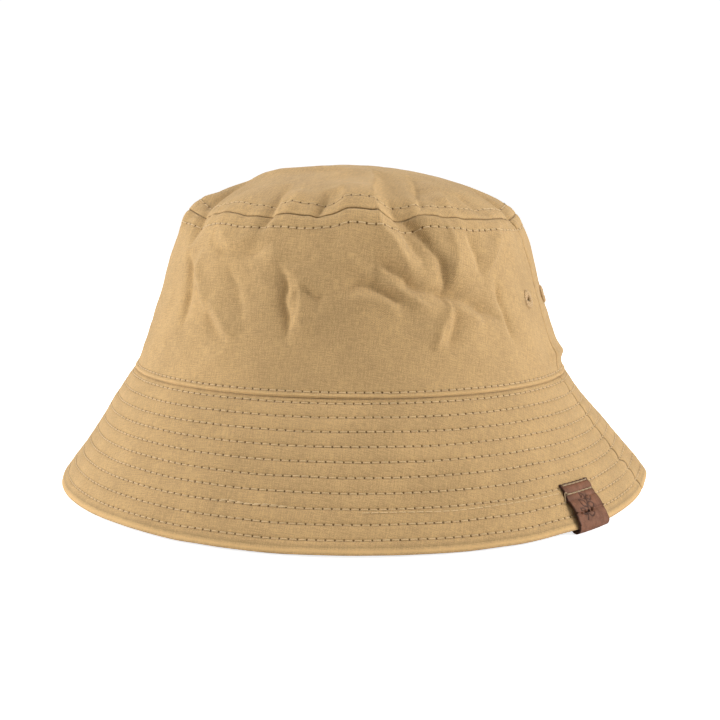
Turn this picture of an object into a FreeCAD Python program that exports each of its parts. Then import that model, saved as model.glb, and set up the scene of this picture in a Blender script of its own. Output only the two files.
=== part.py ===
"""Bucket hat in cotton twill: oval crown tip, two-piece crown wall, two-ply quilted brim.

Millimetres. +Z is up, the wearer faces -Y and the wearer's left is +X. The origin is on the
table under the middle of the hat. Every part is first drawn with the brim's edge in the plane
z = 0 and then raised by LIFT, the depth of the leather tag's fold below that edge.
"""
import FreeCAD, Part
import Sketcher
import math
import os
from FreeCAD import Placement, Rotation, Vector

doc = FreeCAD.newDocument("bucket_hat")

# ---------------------------------------------------------------- driving dimensions (mm)
DIMENSIONS = {
    # head opening: outside of the crown where it meets the brim
    "crown_half_width": 89.0,
    "oval_extra": 7.0,  # how much longer the half depth is than the half width
    # crown wall, from the brim seam up to the tip seam
    "crown_rise": 63.0,
    "crown_lean": 22.5,
    "shoulder_share": 0.15,  # the part of the lean that the rounded shoulder takes
    "dome_rise": 18.0,
    # brim, from the crown seam down to the edge
    "brim_drop": 47.0,
    "brim_flare": 33.0,
    "edge_allowance": 6.0,  # turned-in seam allowance, where the interlining stops
    # cloth
    "twill_ply": 0.6,
    "interlining_ply": 0.6,
    "ply_gap": 0.1,
    "seam_gap": 0.1,
    # bands and tapes inside the crown
    "sweatband_height": 28.0,
    "sweatband_ply": 0.8,
    "sweatband_gap": 0.6,
    "tape_width": 12.0,
    "tape_ply": 0.4,
    "tape_gap": 0.15,
    # stitching
    "thread_radius": 0.2,
    "thread_gap": 0.05,
    "first_row": 3.0,  # from the crown seam, along the brim
    "row_pitch": 5.3,
    "base_row": 2.0,  # above the crown seam
    "tip_row": 4.5,  # each side of the tip seam
    "band_row": 2.5,  # above the sweatband's sewn edge
    # embroidered vent eyelets, two beside each side seam
    "eyelet_height": 32.0,
    "eyelet_spread": 9.0,  # degrees from the side seam
    "eyelet_ring": 2.9,
    "eyelet_cord": 1.1,
    # leather tag folded over the brim's edge
    "tag_bearing": -23.5,  # degrees from the left side seam towards the front
    "tag_width": 19.5,
    "tag_length": 18.5,
    "tag_under": 15.0,
    "leather": 0.8,
    "tag_gap": 0.8,
    "tag_reach": 0.1,  # how far the fold's centre stands past the edge
    "tag_row": 3.2,  # stitches below the tag's upper end
    # labels inside the back
    "label_width": 44.0,
    "label_height": 18.0,
    "label_base": 32.0,  # above the crown seam
    "label_ply": 0.35,
    "care_width": 28.0,
    "care_length": 38.0,
    "care_ply": 0.5,
    "care_gap": 2.3,  # clears the wall's curve across the label
}
BRIM_ROWS = 10
WALL_SECTIONS = 7
SHORT_SECTIONS = 4
WALL_POWER = 0.9  # slight outward bow of the wall
SHOULDER_POWER = 12  # how late the shoulder turns in
DOME_SHARE = 0.45  # where on its ellipsoid the tip's seam lies

dims = doc.addObject("Spreadsheet::Sheet", "dims")
for line, (alias, value) in enumerate(DIMENSIONS.items(), start=1):
    dims.set(f"A{line}", alias)
    dims.set(f"B{line}", str(value))
    dims.setAlias(f"B{line}", alias)
doc.recompute()


def size(alias):
    """One driving dimension as a number."""
    return float(getattr(dims, alias))


# ---------------------------------------------------------------- expressions used often
SLANT = "sqrt(dims.brim_flare^2 + dims.brim_drop^2)"
BRIM_SIN = f"(dims.brim_drop / {SLANT})"
BRIM_COS = f"(dims.brim_flare / {SLANT})"
STACK = "(2 * dims.twill_ply + dims.interlining_ply + 2 * dims.ply_gap)"
WALL_SLANT = "sqrt(dims.crown_lean^2 + dims.crown_rise^2)"
WALL_SIDEWAYS = f"({WALL_SLANT} / dims.crown_rise)"  # horizontal run of one millimetre of ply
FOLD_OUTER = f"({STACK} / 2 + dims.tag_gap + dims.leather)"
LIFT = f"({FOLD_OUTER} + {STACK} / 2 * {BRIM_COS} + dims.tag_reach * {BRIM_SIN})"
WALL_TOP = "(dims.brim_drop + dims.crown_rise)"


def lean_share(share):
    """The part of the crown's lean reached at a share of its rise, as an expression."""
    rounded = f"dims.shoulder_share * ({share})^{SHOULDER_POWER}"
    return f"((1 - dims.shoulder_share) * ({share})^{WALL_POWER} + {rounded})"


def wall_run(share):
    return f"-dims.crown_lean * {lean_share(share)}"


def wall_height(share):
    return f"dims.brim_drop + dims.crown_rise * ({share})"


def brim_run(depth, height):
    """Outward run of a brim surface, depth below its upper face, at a height over the edge."""
    return f"dims.brim_flare * (1 - ({height}) / dims.brim_drop) - ({depth}) / {BRIM_SIN}"


# ---------------------------------------------------------------- shapes every piece shares
def oval(name, run, height):
    """A level ellipse, run millimetres outside the head opening."""
    ellipse = doc.addObject("Part::Ellipse", name)
    ellipse.Placement = Placement(Vector(0, 0, 0), Rotation(Vector(0, 0, 1), 90))
    ellipse.setExpression("MajorRadius", f"dims.crown_half_width + dims.oval_extra + ({run})")
    ellipse.setExpression("MinorRadius", f"dims.crown_half_width + ({run})")
    ellipse.setExpression("Placement.Base.z", height)
    return ellipse


def loft(name, sections):
    solid = doc.addObject("Part::Loft", name)
    solid.Sections = [oval(f"{name}_section_{i}", run, z) for i, (run, z) in enumerate(sections)]
    solid.Solid = True
    solid.Ruled = len(sections) == 2
    return solid


def cut(name, base, tool):
    result = doc.addObject("Part::Cut", name)
    result.Base = base
    result.Tool = tool
    return result


def common(name, base, tool):
    result = doc.addObject("Part::Common", name)
    result.Base = base
    result.Tool = tool
    return result


def box(name, length, width, height, x, y, z):
    """A box from expressions for its three sides and its lowest corner."""
    block = doc.addObject("Part::Box", name)
    for side, value in (("Length", length), ("Width", width), ("Height", height)):
        block.setExpression(side, value)
    for axis, value in (("x", x), ("y", y), ("z", z)):
        block.setExpression(f"Placement.Base.{axis}", value)
    return block


def band(name, sections, sideways):
    """An oval band: the outer sections, less the same sections drawn in by sideways."""
    inner = [(f"({run}) - ({sideways})", height) for run, height in sections]
    return cut(name, loft(f"{name}_outside", sections), loft(f"{name}_inside", inner))


SPAN = "4 * (dims.crown_half_width + dims.oval_extra + dims.brim_flare)"
TALL = "4 * (dims.brim_drop + dims.crown_rise + dims.dome_rise)"


def half(name, base, back):
    """The front or back half of an oval band, cut along the side seams."""
    side = "dims.seam_gap / 2" if back else f"-dims.seam_gap / 2 - {SPAN}"
    block = box(f"{name}_block", SPAN, SPAN, TALL, f"-{SPAN} / 2", side, f"-{TALL} / 4")
    return common(name, base, block)


def group(name, members):
    compound = doc.addObject("Part::Compound", name)
    compound.Links = members
    return compound


def thread_ring(name, run, height):
    """A closed thread of six-sided section along a level oval."""
    path = oval(f"{name}_path", run, height)
    profile = doc.addObject("Part::RegularPolygon", f"{name}_profile")
    profile.Polygon = 6
    profile.Placement = Placement(Vector(0, 0, 0), Rotation(Vector(0, 1, 0), 90))
    profile.setExpression("Circumradius", "dims.thread_radius")
    profile.setExpression(
        "Placement.Base.y", f"dims.crown_half_width + dims.oval_extra + ({run})"
    )
    profile.setExpression("Placement.Base.z", height)
    ring = doc.addObject("Part::Sweep", name)
    ring.Sections = [profile]
    ring.Spine = (path, ["Edge1"])
    ring.Solid = True
    ring.Frenet = True
    return ring


# ---------------------------------------------------------------- finished sub-parts
nodes = {}


def finish(label, source):
    """Names a sub-part and raises it from the brim's edge plane to its place on the table."""
    source.Label = label
    source.setExpression("Placement.Base.z", LIFT)
    nodes[label] = source


def wall_sections(low, high, inward, count=WALL_SECTIONS):
    """Sections of the crown wall between two shares of its rise, drawn in by inward."""
    rows = []
    for i in range(count):
        share = f"(({low}) + (({high}) - ({low})) * {i} / {count - 1})"
        rows.append((f"{wall_run(share)} - ({inward})", wall_height(share)))
    return rows


def on_wall(bearing, height, inward=0.0):
    """Point, outward yaw and lean angle on the crown wall at a bearing from the left seam."""
    share = height / size("crown_rise")
    bow = (1 - size("shoulder_share")) * share**WALL_POWER
    run = -size("crown_lean") * (bow + size("shoulder_share") * share**SHOULDER_POWER) - inward
    half_width = size("crown_half_width") + run
    half_depth = half_width + size("oval_extra")
    turn = math.radians(bearing)
    point = Vector(
        half_width * math.cos(turn),
        half_depth * math.sin(turn),
        size("brim_drop") + height,
    )
    yaw = math.degrees(math.atan2(half_width * math.sin(turn), half_depth * math.cos(turn)))
    lean = math.degrees(math.atan2(size("crown_lean"), size("crown_rise")))
    return point, yaw, lean


def crown_wall():
    """Front and back wall panels, joined at the side seams and pierced for the eyelets."""
    sideways = f"dims.twill_ply * {WALL_SIDEWAYS}"
    shell = band("wall_shell", wall_sections("0", "1", "0"), sideways)
    panel = half("front_panel", shell, back=False)
    for number, bearing in enumerate((-size("eyelet_spread"), size("eyelet_spread") - 180)):
        point, yaw, lean = on_wall(bearing, size("eyelet_height"))
        hole = doc.addObject("Part::Cylinder", f"eyelet_hole_{number}")
        hole.setExpression("Radius", "dims.eyelet_ring + dims.eyelet_cord + 2 * dims.thread_gap")
        hole.setExpression("Height", "8 * dims.eyelet_cord")
        turned = Rotation(Vector(0, 0, 1), yaw).multiply(Rotation(Vector(0, 1, 0), 90 - lean))
        start = point - turned.multVec(Vector(0, 0, 4 * size("eyelet_cord")))
        hole.Placement = Placement(start, turned)
        panel = cut(f"pierced_{number}", panel, hole)
    # the back is cut from the same pattern, turned over
    mirrored = doc.addObject("Part::Mirroring", "back_panel")
    mirrored.Source = panel
    mirrored.Normal = Vector(0, 1, 0)
    finish("crown_side_front", group("front_wall", [panel]))
    finish("crown_side_back", group("back_wall", [mirrored]))


def crown_tip():
    """The oval tip: a shallow cap of an ellipsoid, one ply thick."""
    spread = 1 / math.sqrt(1 - DOME_SHARE**2)
    tip_width = "(dims.crown_half_width - dims.crown_lean)"
    tip_depth = "(dims.crown_half_width + dims.oval_extra - dims.crown_lean)"
    height = f"dims.dome_rise / {1 - DOME_SHARE}"
    level = f"{WALL_TOP} - {DOME_SHARE} * {height}"
    domes = []
    for name, ply in (("tip_outside", "0"), ("tip_inside", "dims.twill_ply")):
        dome = doc.addObject("Part::Ellipsoid", name)
        dome.setExpression("Radius1", f"{height} - {ply}")
        dome.setExpression("Radius2", f"{tip_width} * {spread} - {ply}")
        dome.setExpression("Radius3", f"{tip_depth} * {spread} - {ply}")
        dome.setExpression("Placement.Base.z", level)
        domes.append(dome)
    shell = cut("tip_shell", *domes)
    above = box("tip_block", SPAN, SPAN, TALL, f"-{SPAN} / 2", f"-{SPAN} / 2", WALL_TOP)
    finish("crown_tip", common("tip_cap", shell, above))


def crown_bands():
    """Tapes over the tip seam and the side seams, and the sweatband, inside the wall."""
    ply = f"dims.twill_ply * {WALL_SIDEWAYS}"
    tape_inward = f"{ply} + dims.tape_gap"
    tape_low = "(1 - dims.tape_width / dims.crown_rise)"
    rows = wall_sections(tape_low, "1", tape_inward, SHORT_SECTIONS)
    finish("tip_seam_binding", band("tip_tape", rows, "dims.tape_ply"))

    low = "((dims.sweatband_height + dims.tape_gap) / dims.crown_rise)"
    high = f"({tape_low} - dims.tape_gap / dims.crown_rise)"
    rows = wall_sections(low, high, tape_inward, SHORT_SECTIONS)
    strip = band("side_tape", rows, "dims.tape_ply")
    for side, corner in (("left", "0"), ("right", f"-{SPAN}")):
        block = box(
            f"{side}_tape_block", SPAN, "dims.tape_width", TALL,
            corner, "-dims.tape_width / 2", "0",
        )
        finish(f"side_seam_binding_{side}", common(f"{side}_tape", strip, block))

    band_inward = f"{ply} + dims.sweatband_gap"
    band_high = "(dims.sweatband_height / dims.crown_rise)"
    rows = wall_sections("0", band_high, band_inward, SHORT_SECTIONS)
    finish("sweatband", band("sweat_ring", rows, "dims.sweatband_ply"))


def brim_ply(name, depth, ply, low):
    """A conical brim layer whose upper face lies depth below the brim's upper face."""
    rows = [(brim_run(depth, "dims.brim_drop"), "dims.brim_drop"), (brim_run(depth, low), low)]
    return band(name, rows, f"({ply}) / {BRIM_SIN}")


def brim():
    """Upper cloth, interlining and under cloth, each in a front and a back half."""
    low = f"dims.edge_allowance * {BRIM_SIN}"
    under_depth = "dims.twill_ply + dims.interlining_ply + 2 * dims.ply_gap"
    layers = (
        ("brim_upper", "0", "dims.twill_ply", "0"),
        ("brim_interlining", "dims.twill_ply + dims.ply_gap", "dims.interlining_ply", low),
        ("brim_under", under_depth, "dims.twill_ply", "0"),
    )
    for label, depth, ply, bottom in layers:
        layer = brim_ply(f"{label}_ring", depth, ply, bottom)
        finish(f"{label}_front", half(f"{label}_f", layer, back=False))
        finish(f"{label}_back", half(f"{label}_b", layer, back=True))


def stitching():
    """Needle threads outside, bobbin threads under the brim, and the sweatband's seam."""
    proud = "(dims.thread_radius + dims.thread_gap)"
    upper, under = [], []
    for row in range(BRIM_ROWS):
        along = f"(dims.first_row + {row} * dims.row_pitch)"
        height = f"(dims.brim_drop - {along} * {BRIM_SIN})"
        for threads, depth in ((upper, f"-{proud}"), (under, f"{STACK} + {proud}")):
            name = f"brim_row_{row}_{'upper' if threads is upper else 'under'}"
            threads.append(thread_ring(name, brim_run(depth, height), height))
    finish("brim_needle_threads", group("upper_rows", upper))
    finish("brim_bobbin_threads", group("under_rows", under))

    outward = f"{proud} * {WALL_SIDEWAYS}"
    base = "(dims.base_row / dims.crown_rise)"
    ring = thread_ring("base_row", f"{wall_run(base)} + 2 * {outward}", wall_height(base))
    finish("crown_base_topstitch", group("base_rows", [ring]))
    shoulder = "(1 - dims.tip_row / dims.crown_rise)"
    ring = thread_ring(
        "shoulder_row", f"{wall_run(shoulder)} + 2 * {outward}", wall_height(shoulder)
    )
    finish("tip_topstitch_lower", group("shoulder_rows", [ring]))
    finish("tip_topstitch_upper", group("dome_rows", [dome_thread(proud)]))

    depth = f"dims.twill_ply * {WALL_SIDEWAYS} + dims.sweatband_gap + dims.sweatband_ply"
    share = "(dims.band_row / dims.crown_rise)"
    inward = f"({depth}) + {proud} * {WALL_SIDEWAYS}"
    ring = thread_ring("sweat_row", f"{wall_run(share)} - ({inward})", wall_height(share))
    finish("sweatband_stitch", group("sweat_rows", [ring]))


def dome_thread(proud):
    """The thread round the tip, on the ellipse that lies tip_row inside its seam."""
    height = f"(dims.dome_rise / {1 - DOME_SHARE})"
    width = "(dims.crown_half_width - dims.crown_lean)"
    shrink = f"(1 - dims.tip_row / {width})"
    spread_squared = 1 / (1 - DOME_SHARE**2)
    rise = f"{height} * sqrt(1 - {shrink}^2 / {spread_squared}) - {DOME_SHARE} * {height}"
    level = f"{WALL_TOP} + {rise} + 1.5 * {proud}"
    ring = thread_ring("dome_row", f"-dims.crown_lean - dims.tip_row", level)
    # the tip's section is a scaled ellipse, so its half depth shrinks in proportion
    depth = f"(dims.crown_half_width + dims.oval_extra - dims.crown_lean) * {shrink}"
    ring.Spine[0].setExpression("MajorRadius", depth)
    ring.Sections[0].setExpression("Placement.Base.y", depth)
    return ring


def eyelets():
    """Two embroidered rings on each side, seated in the wall's holes."""
    for side, bearing in (("left", 0.0), ("right", 180.0)):
        rings = []
        for sign in (-1, 1):
            mid_ply = size("twill_ply") / 2
            point, yaw, lean = on_wall(
                bearing + sign * size("eyelet_spread"), size("eyelet_height"), mid_ply
            )
            ring = doc.addObject("Part::Torus", f"eyelet_{side}_{len(rings)}")
            ring.setExpression("Radius1", "dims.eyelet_ring")
            ring.setExpression("Radius2", "dims.eyelet_cord")
            turned = Rotation(Vector(0, 0, 1), yaw).multiply(Rotation(Vector(0, 1, 0), 90 - lean))
            ring.Placement = Placement(point, turned)
            rings.append(ring)
        finish(f"eyelets_{side}", group(f"eyelet_pair_{side}", rings))


# ---------------------------------------------------------------- bodies drawn as sketches
def origin_plane(body, role):
    return next(f for f in body.Origin.OriginFeatures if f.Role == role)


def sketch_on(body, name, role="XZ_Plane"):
    sketch = body.newObject("Sketcher::SketchObject", name)
    sketch.AttachmentSupport = [(origin_plane(body, role), "")]
    sketch.MapMode = "FlatFace"
    return sketch


def polygon(sketch, points):
    """A closed chain of lines through points, joined end to start."""
    first = sketch.GeometryCount
    for i, start in enumerate(points):
        sketch.addGeometry(Part.LineSegment(start, points[(i + 1) % len(points)]))
    count = len(points)
    for i in range(count):
        follower = first + (i + 1) % count
        sketch.addConstraint(Sketcher.Constraint("Coincident", first + i, 2, follower, 1))
    return first


def bind(sketch, kind, *where, value, name, expression):
    """A named dimension of a sketch, driven by an expression."""
    index = sketch.addConstraint(Sketcher.Constraint(kind, *where, value))
    sketch.renameConstraint(index, name)
    sketch.setExpression(f"Constraints.{name}", expression)


def pad(body, sketch, name, length):
    extrusion = body.newObject("PartDesign::Pad", name)
    extrusion.Profile = sketch
    extrusion.SideType = "Symmetric"
    extrusion.setExpression("Length", length)
    return extrusion


def folded_strip(sketch):
    """The tag's section: a strip that runs down the brim, round its edge and back under it.

    Sketch x runs down the brim and sketch y out of its upper face, from the brim's edge.
    """
    stack = 2 * size("twill_ply") + size("interlining_ply") + 2 * size("ply_gap")
    gap, leather = size("tag_gap"), size("leather")
    reach, upper, under = size("tag_reach"), size("tag_length"), size("tag_under")
    inner = stack / 2 + gap
    centre = Vector(reach, -stack / 2, 0)
    axis = Vector(0, 0, 1)
    high, low = gap, -stack - gap
    outer_arc = Part.Circle(centre, axis, inner + leather)
    inner_arc = Part.Circle(centre, axis, inner)
    line, arc = Part.LineSegment, Part.ArcOfCircle
    pieces = [
        line(Vector(-upper, high + leather, 0), Vector(reach, high + leather, 0)),
        arc(outer_arc, -math.pi / 2, math.pi / 2),
        line(Vector(reach, low - leather, 0), Vector(-under, low - leather, 0)),
        line(Vector(-under, low - leather, 0), Vector(-under, low, 0)),
        line(Vector(-under, low, 0), Vector(reach, low, 0)),
        arc(inner_arc, -math.pi / 2, math.pi / 2),
        line(Vector(reach, high, 0), Vector(-upper, high, 0)),
        line(Vector(-upper, high, 0), Vector(-upper, high + leather, 0)),
    ]
    sketch.addGeometry(pieces)
    joints = ((0, 2, 1, 2), (1, 1, 2, 1), (2, 2, 3, 1), (3, 2, 4, 1), (4, 2, 5, 1))
    for joint in joints + ((5, 2, 6, 1), (6, 2, 7, 1), (7, 2, 0, 1)):
        sketch.addConstraint(Sketcher.Constraint("Coincident", *joint))
    for flat in (0, 2, 4, 6):
        sketch.addConstraint(Sketcher.Constraint("Horizontal", flat))
    for end in (3, 7):
        sketch.addConstraint(Sketcher.Constraint("Vertical", end))
    sketch.addConstraint(Sketcher.Constraint("Coincident", 1, 3, 5, 3))
    for arc_end in ((1, 1), (1, 2), (5, 1), (5, 2)):
        sketch.addConstraint(Sketcher.Constraint("Vertical", *arc_end, 1, 3))
    half_stack = f"{STACK} / 2"
    bind(sketch, "DistanceX", -1, 1, 1, 3, value=reach, name="reach", expression="dims.tag_reach")
    bind(sketch, "DistanceY", 1, 3, -1, 1, value=stack / 2, name="middle", expression=half_stack)
    bind(
        sketch, "Radius", 5, value=inner, name="inner",
        expression=f"{half_stack} + dims.tag_gap",
    )
    bind(sketch, "Radius", 1, value=inner + leather, name="outer", expression=FOLD_OUTER)
    bind(
        sketch, "DistanceX", 7, 1, -1, 1, value=upper, name="upper", expression="dims.tag_length"
    )
    bind(sketch, "DistanceX", 3, 1, -1, 1, value=under, name="under", expression="dims.tag_under")


def brim_edge_place(bearing):
    """Placement whose x runs down the brim and whose z leaves its upper face, at the edge."""
    half_width = size("crown_half_width") + size("brim_flare")
    half_depth = half_width + size("oval_extra")
    turn = math.radians(bearing)
    yaw = math.degrees(math.atan2(half_width * math.sin(turn), half_depth * math.cos(turn)))
    slope = math.degrees(math.atan2(size("brim_drop"), size("brim_flare")))
    point = Vector(half_width * math.cos(turn), half_depth * math.sin(turn), 0)
    turned = Rotation(Vector(0, 0, 1), yaw).multiply(Rotation(Vector(0, 1, 0), slope))
    return Placement(point, turned)


def tag():
    """The leather tag and the two threads that hold its ends to the brim."""
    body = doc.addObject("PartDesign::Body", "tag_body")
    section = sketch_on(body, "tag_section")
    folded_strip(section)
    doc.recompute()
    pad(body, section, "tag_strip", "dims.tag_width")
    edge = brim_edge_place(size("tag_bearing"))
    body.Placement = edge
    finish("brim_tag", body)

    radius, gap = size("thread_radius"), size("thread_gap")
    stack = 2 * size("twill_ply") + size("interlining_ply") + 2 * size("ply_gap")
    face = size("tag_gap") + size("leather") + radius + gap
    upper = size("tag_length") - size("tag_row")
    under = size("tag_under") - size("tag_row")
    inset = 1.0
    threads = []
    for name, along, out in (("upper", -upper, face), ("under", -under, -stack - face)):
        thread = doc.addObject("Part::Cylinder", f"tag_thread_{name}")
        thread.setExpression("Radius", "dims.thread_radius")
        thread.setExpression("Height", f"dims.tag_width - {2 * inset}")
        start = Vector(along, size("tag_width") / 2 - inset, out)
        local = Placement(start, Rotation(Vector(1, 0, 0), 90))
        thread.Placement = edge.multiply(local)
        threads.append(thread)
    finish("tag_stitching", group("tag_threads", threads))


def labels():
    """A plain woven label on the inside of the back, and the care label that hangs from it."""
    inward = f"dims.twill_ply * {WALL_SIDEWAYS} + dims.tape_gap"
    low = "(dims.label_base / dims.crown_rise)"
    high = "((dims.label_base + dims.label_height) / dims.crown_rise)"
    rows = wall_sections(low, high, inward, SHORT_SECTIONS)
    strip = band("label_strip", rows, "dims.label_ply")
    block = box(
        "label_block", "dims.label_width", SPAN, TALL, "-dims.label_width / 2", "0", "0"
    )
    finish("inner_label", common("label_patch", strip, block))

    body = doc.addObject("PartDesign::Body", "care_body")
    sheet = sketch_on(body, "care_outline")
    wide, long = size("care_width"), size("care_length")
    corners = ((-wide / 2, 0), (wide / 2, 0), (wide / 2, -long), (-wide / 2, -long))
    first = polygon(sheet, [Vector(x, y, 0) for x, y in corners])
    for level in (first, first + 2):
        sheet.addConstraint(Sketcher.Constraint("Horizontal", level))
    for upright in (first + 1, first + 3):
        sheet.addConstraint(Sketcher.Constraint("Vertical", upright))
    sheet.addConstraint(Sketcher.Constraint("Symmetric", first, 1, first, 2, -1, 1))
    bind(
        sheet, "DistanceX", first, 1, first, 2,
        value=wide, name="wide", expression="dims.care_width",
    )
    bind(
        sheet, "DistanceY", first + 1, 2, first + 1, 1,
        value=long, name="long", expression="dims.care_length",
    )
    doc.recompute()
    pad(body, sheet, "care_sheet", "dims.care_ply")
    sideways = size("twill_ply") * math.hypot(size("crown_lean"), size("crown_rise"))
    sideways /= size("crown_rise")
    inset = sideways + size("tape_gap") + size("label_ply") + size("care_gap")
    hinge, _, _ = on_wall(90.0, size("label_base") - size("tape_gap"), inset)
    # the sewn edge is rolled round the line that the label swings about
    roll = doc.addObject("Part::Cylinder", "care_roll")
    roll.setExpression("Radius", "dims.care_ply / 2")
    roll.setExpression("Height", "dims.care_width")
    along = Rotation(Vector(0, 1, 0), 90)
    roll.Placement = Placement(Vector(-wide / 2, hinge.y, hinge.z), along)
    roll.setExpression("Placement.Base.x", "-dims.care_width / 2")
    body.Placement = Placement(Vector(0, hinge.y, hinge.z), Rotation())
    leaf = doc.addObject("Part::MultiFuse", "care_leaf")
    leaf.Shapes = [body, roll]
    finish("care_label", leaf)


crown_wall()
crown_tip()
crown_bands()
brim()
stitching()
eyelets()
tag()
labels()
doc.recompute()

for item in doc.Objects:
    if "Invalid" in item.State or "Error" in item.State:
        raise RuntimeError(f"{item.Label} did not build: {item.State}")

os.makedirs("parts", exist_ok=True)
for label, source in nodes.items():
    shape = source.Shape
    if shape.isNull() or not shape.isValid() or not shape.Solids:
        raise RuntimeError(f"{label} has no valid solid")
    shape.exportStep(f"parts/{label}.step")
    limits = shape.BoundBox
    print(
        f"{label:26s} solids {len(shape.Solids):2d}  volume {shape.Volume:9.1f}  "
        f"z {limits.ZMin:7.2f} to {limits.ZMax:7.2f}"
    )
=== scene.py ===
"""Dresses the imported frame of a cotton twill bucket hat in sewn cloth, thread and leather.

Every cloth piece follows one surface, hat_point(turn, s, depth). Turn is the bearing round the
hat from the wearer's left (+X) towards the back. s runs along the cloth in millimetres: below
zero down the brim, up the crown wall from zero to WALL, and on across the tip to its middle.
Depth is millimetres inwards from the outer face. Meshes are in metres.
"""
import math

import bmesh
import bpy
import numpy as np
from mathutils import Matrix, Vector


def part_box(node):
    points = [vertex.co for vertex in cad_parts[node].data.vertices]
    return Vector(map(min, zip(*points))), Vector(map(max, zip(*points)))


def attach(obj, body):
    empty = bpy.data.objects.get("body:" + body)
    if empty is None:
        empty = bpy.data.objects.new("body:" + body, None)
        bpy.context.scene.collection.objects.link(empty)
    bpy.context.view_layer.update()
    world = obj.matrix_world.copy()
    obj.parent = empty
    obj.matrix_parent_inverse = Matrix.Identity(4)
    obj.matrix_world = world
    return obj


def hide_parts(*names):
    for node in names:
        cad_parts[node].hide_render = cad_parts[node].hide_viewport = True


bl_info = {
    "name": "Twill bucket hat",
    "version": (1, 0, 0),
    "blender": (4, 5, 0),
    "location": "View3D > Sidebar > Hat",
    "description": "Sewn cloth, stitching and leather for a bucket hat",
    "category": "Object",
}

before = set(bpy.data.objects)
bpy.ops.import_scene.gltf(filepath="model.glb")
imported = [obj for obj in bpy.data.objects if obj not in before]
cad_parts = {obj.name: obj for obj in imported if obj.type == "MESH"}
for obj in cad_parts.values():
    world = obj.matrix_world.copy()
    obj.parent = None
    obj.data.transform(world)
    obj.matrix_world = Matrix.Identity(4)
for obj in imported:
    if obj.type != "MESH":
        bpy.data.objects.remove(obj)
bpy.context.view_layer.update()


def millimetres(node):
    low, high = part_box(node)
    return np.array(low) * 1000, np.array(high) * 1000


WALL_LOW, WALL_HIGH = millimetres("crown_side_front")
BRIM_LOW, BRIM_HIGH = millimetres("brim_upper_front")
TIP_HIGH = millimetres("crown_tip")[1]
BAND_HIGH = millimetres("sweatband")[1]
CARE_LOW, CARE_HIGH = millimetres("care_label")
LABEL_LOW, LABEL_HIGH = millimetres("inner_label")

HALF_WIDTH = WALL_HIGH[0]
HALF_DEPTH = -WALL_LOW[1]
SEAM_Z = WALL_LOW[2]
RIM_Z = WALL_HIGH[2]
RISE = RIM_Z - SEAM_Z
LEAN = HALF_WIDTH - TIP_HIGH[0]
DOME = (TIP_HIGH[2] - RIM_Z) * 1.13  # the worn tip stands a little fuller
DROP = SEAM_Z - BRIM_LOW[2]
FLARE = BRIM_HIGH[0] - HALF_WIDTH
SLANT = math.hypot(DROP, FLARE)
WALL = math.hypot(RISE, LEAN)
TIP = (TIP_HIGH[0] + HALF_DEPTH - LEAN) / 2
SHOULDER = 0.15  # the part of the lean that the rounded shoulder takes
DOME_SHARE = 0.45  # where on its ellipsoid the tip's seam lies
LEFT, RIGHT = 0.0, math.pi
CROWN_SHIFT = (-1.6, -0.55)  # the soft crown leans a little towards the wearer's right
FULLNESS = 0.8  # how far the worn cloth stands out from the pattern line
# mean radii that set how closely the meshes and seams are spaced round the hat
SEAM_RADIUS, WALL_RADIUS, LINING_RADIUS, BRIM_RADIUS = 92.0, 88.0, 86.0, 118.0


# ---------------------------------------------------------------- the hat's surface
def lean_share(share):
    """How much of the wall's lean is reached at a share of its height."""
    return (1 - SHOULDER) * share**0.9 + SHOULDER * share**12


def plain_point(turn, s):
    """The outer face of a hat just pressed: no crease and no wave."""
    down = np.maximum(-s, 0) / SLANT
    up = np.clip(s / WALL, 0, 1)
    keep = np.clip(1 - (s - WALL) / TIP, 0, 1)
    run = FLARE * down - LEAN * lean_share(up)
    dome = (np.sqrt(1 - keep**2 * (1 - DOME_SHARE**2)) - DOME_SHARE) / (1 - DOME_SHARE)
    x = (HALF_WIDTH + run) * keep * np.cos(turn)
    y = (HALF_DEPTH + run) * keep * np.sin(turn)
    z = SEAM_Z - DROP * down + RISE * up + DOME * dome
    return np.stack([x, y, z], -1)


def wave(points, length, seed):
    """A smooth random swell of about the given wavelength, between -1 and 1."""
    rng = np.random.default_rng(seed)
    total = np.zeros(len(points))
    for _ in range(7):
        direction = rng.normal(size=3)
        direction *= 2 * math.pi / length / np.linalg.norm(direction)
        total += np.sin(points @ direction * rng.uniform(0.7, 1.3) + rng.uniform(0, 6.3))
    return total / 4


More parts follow.
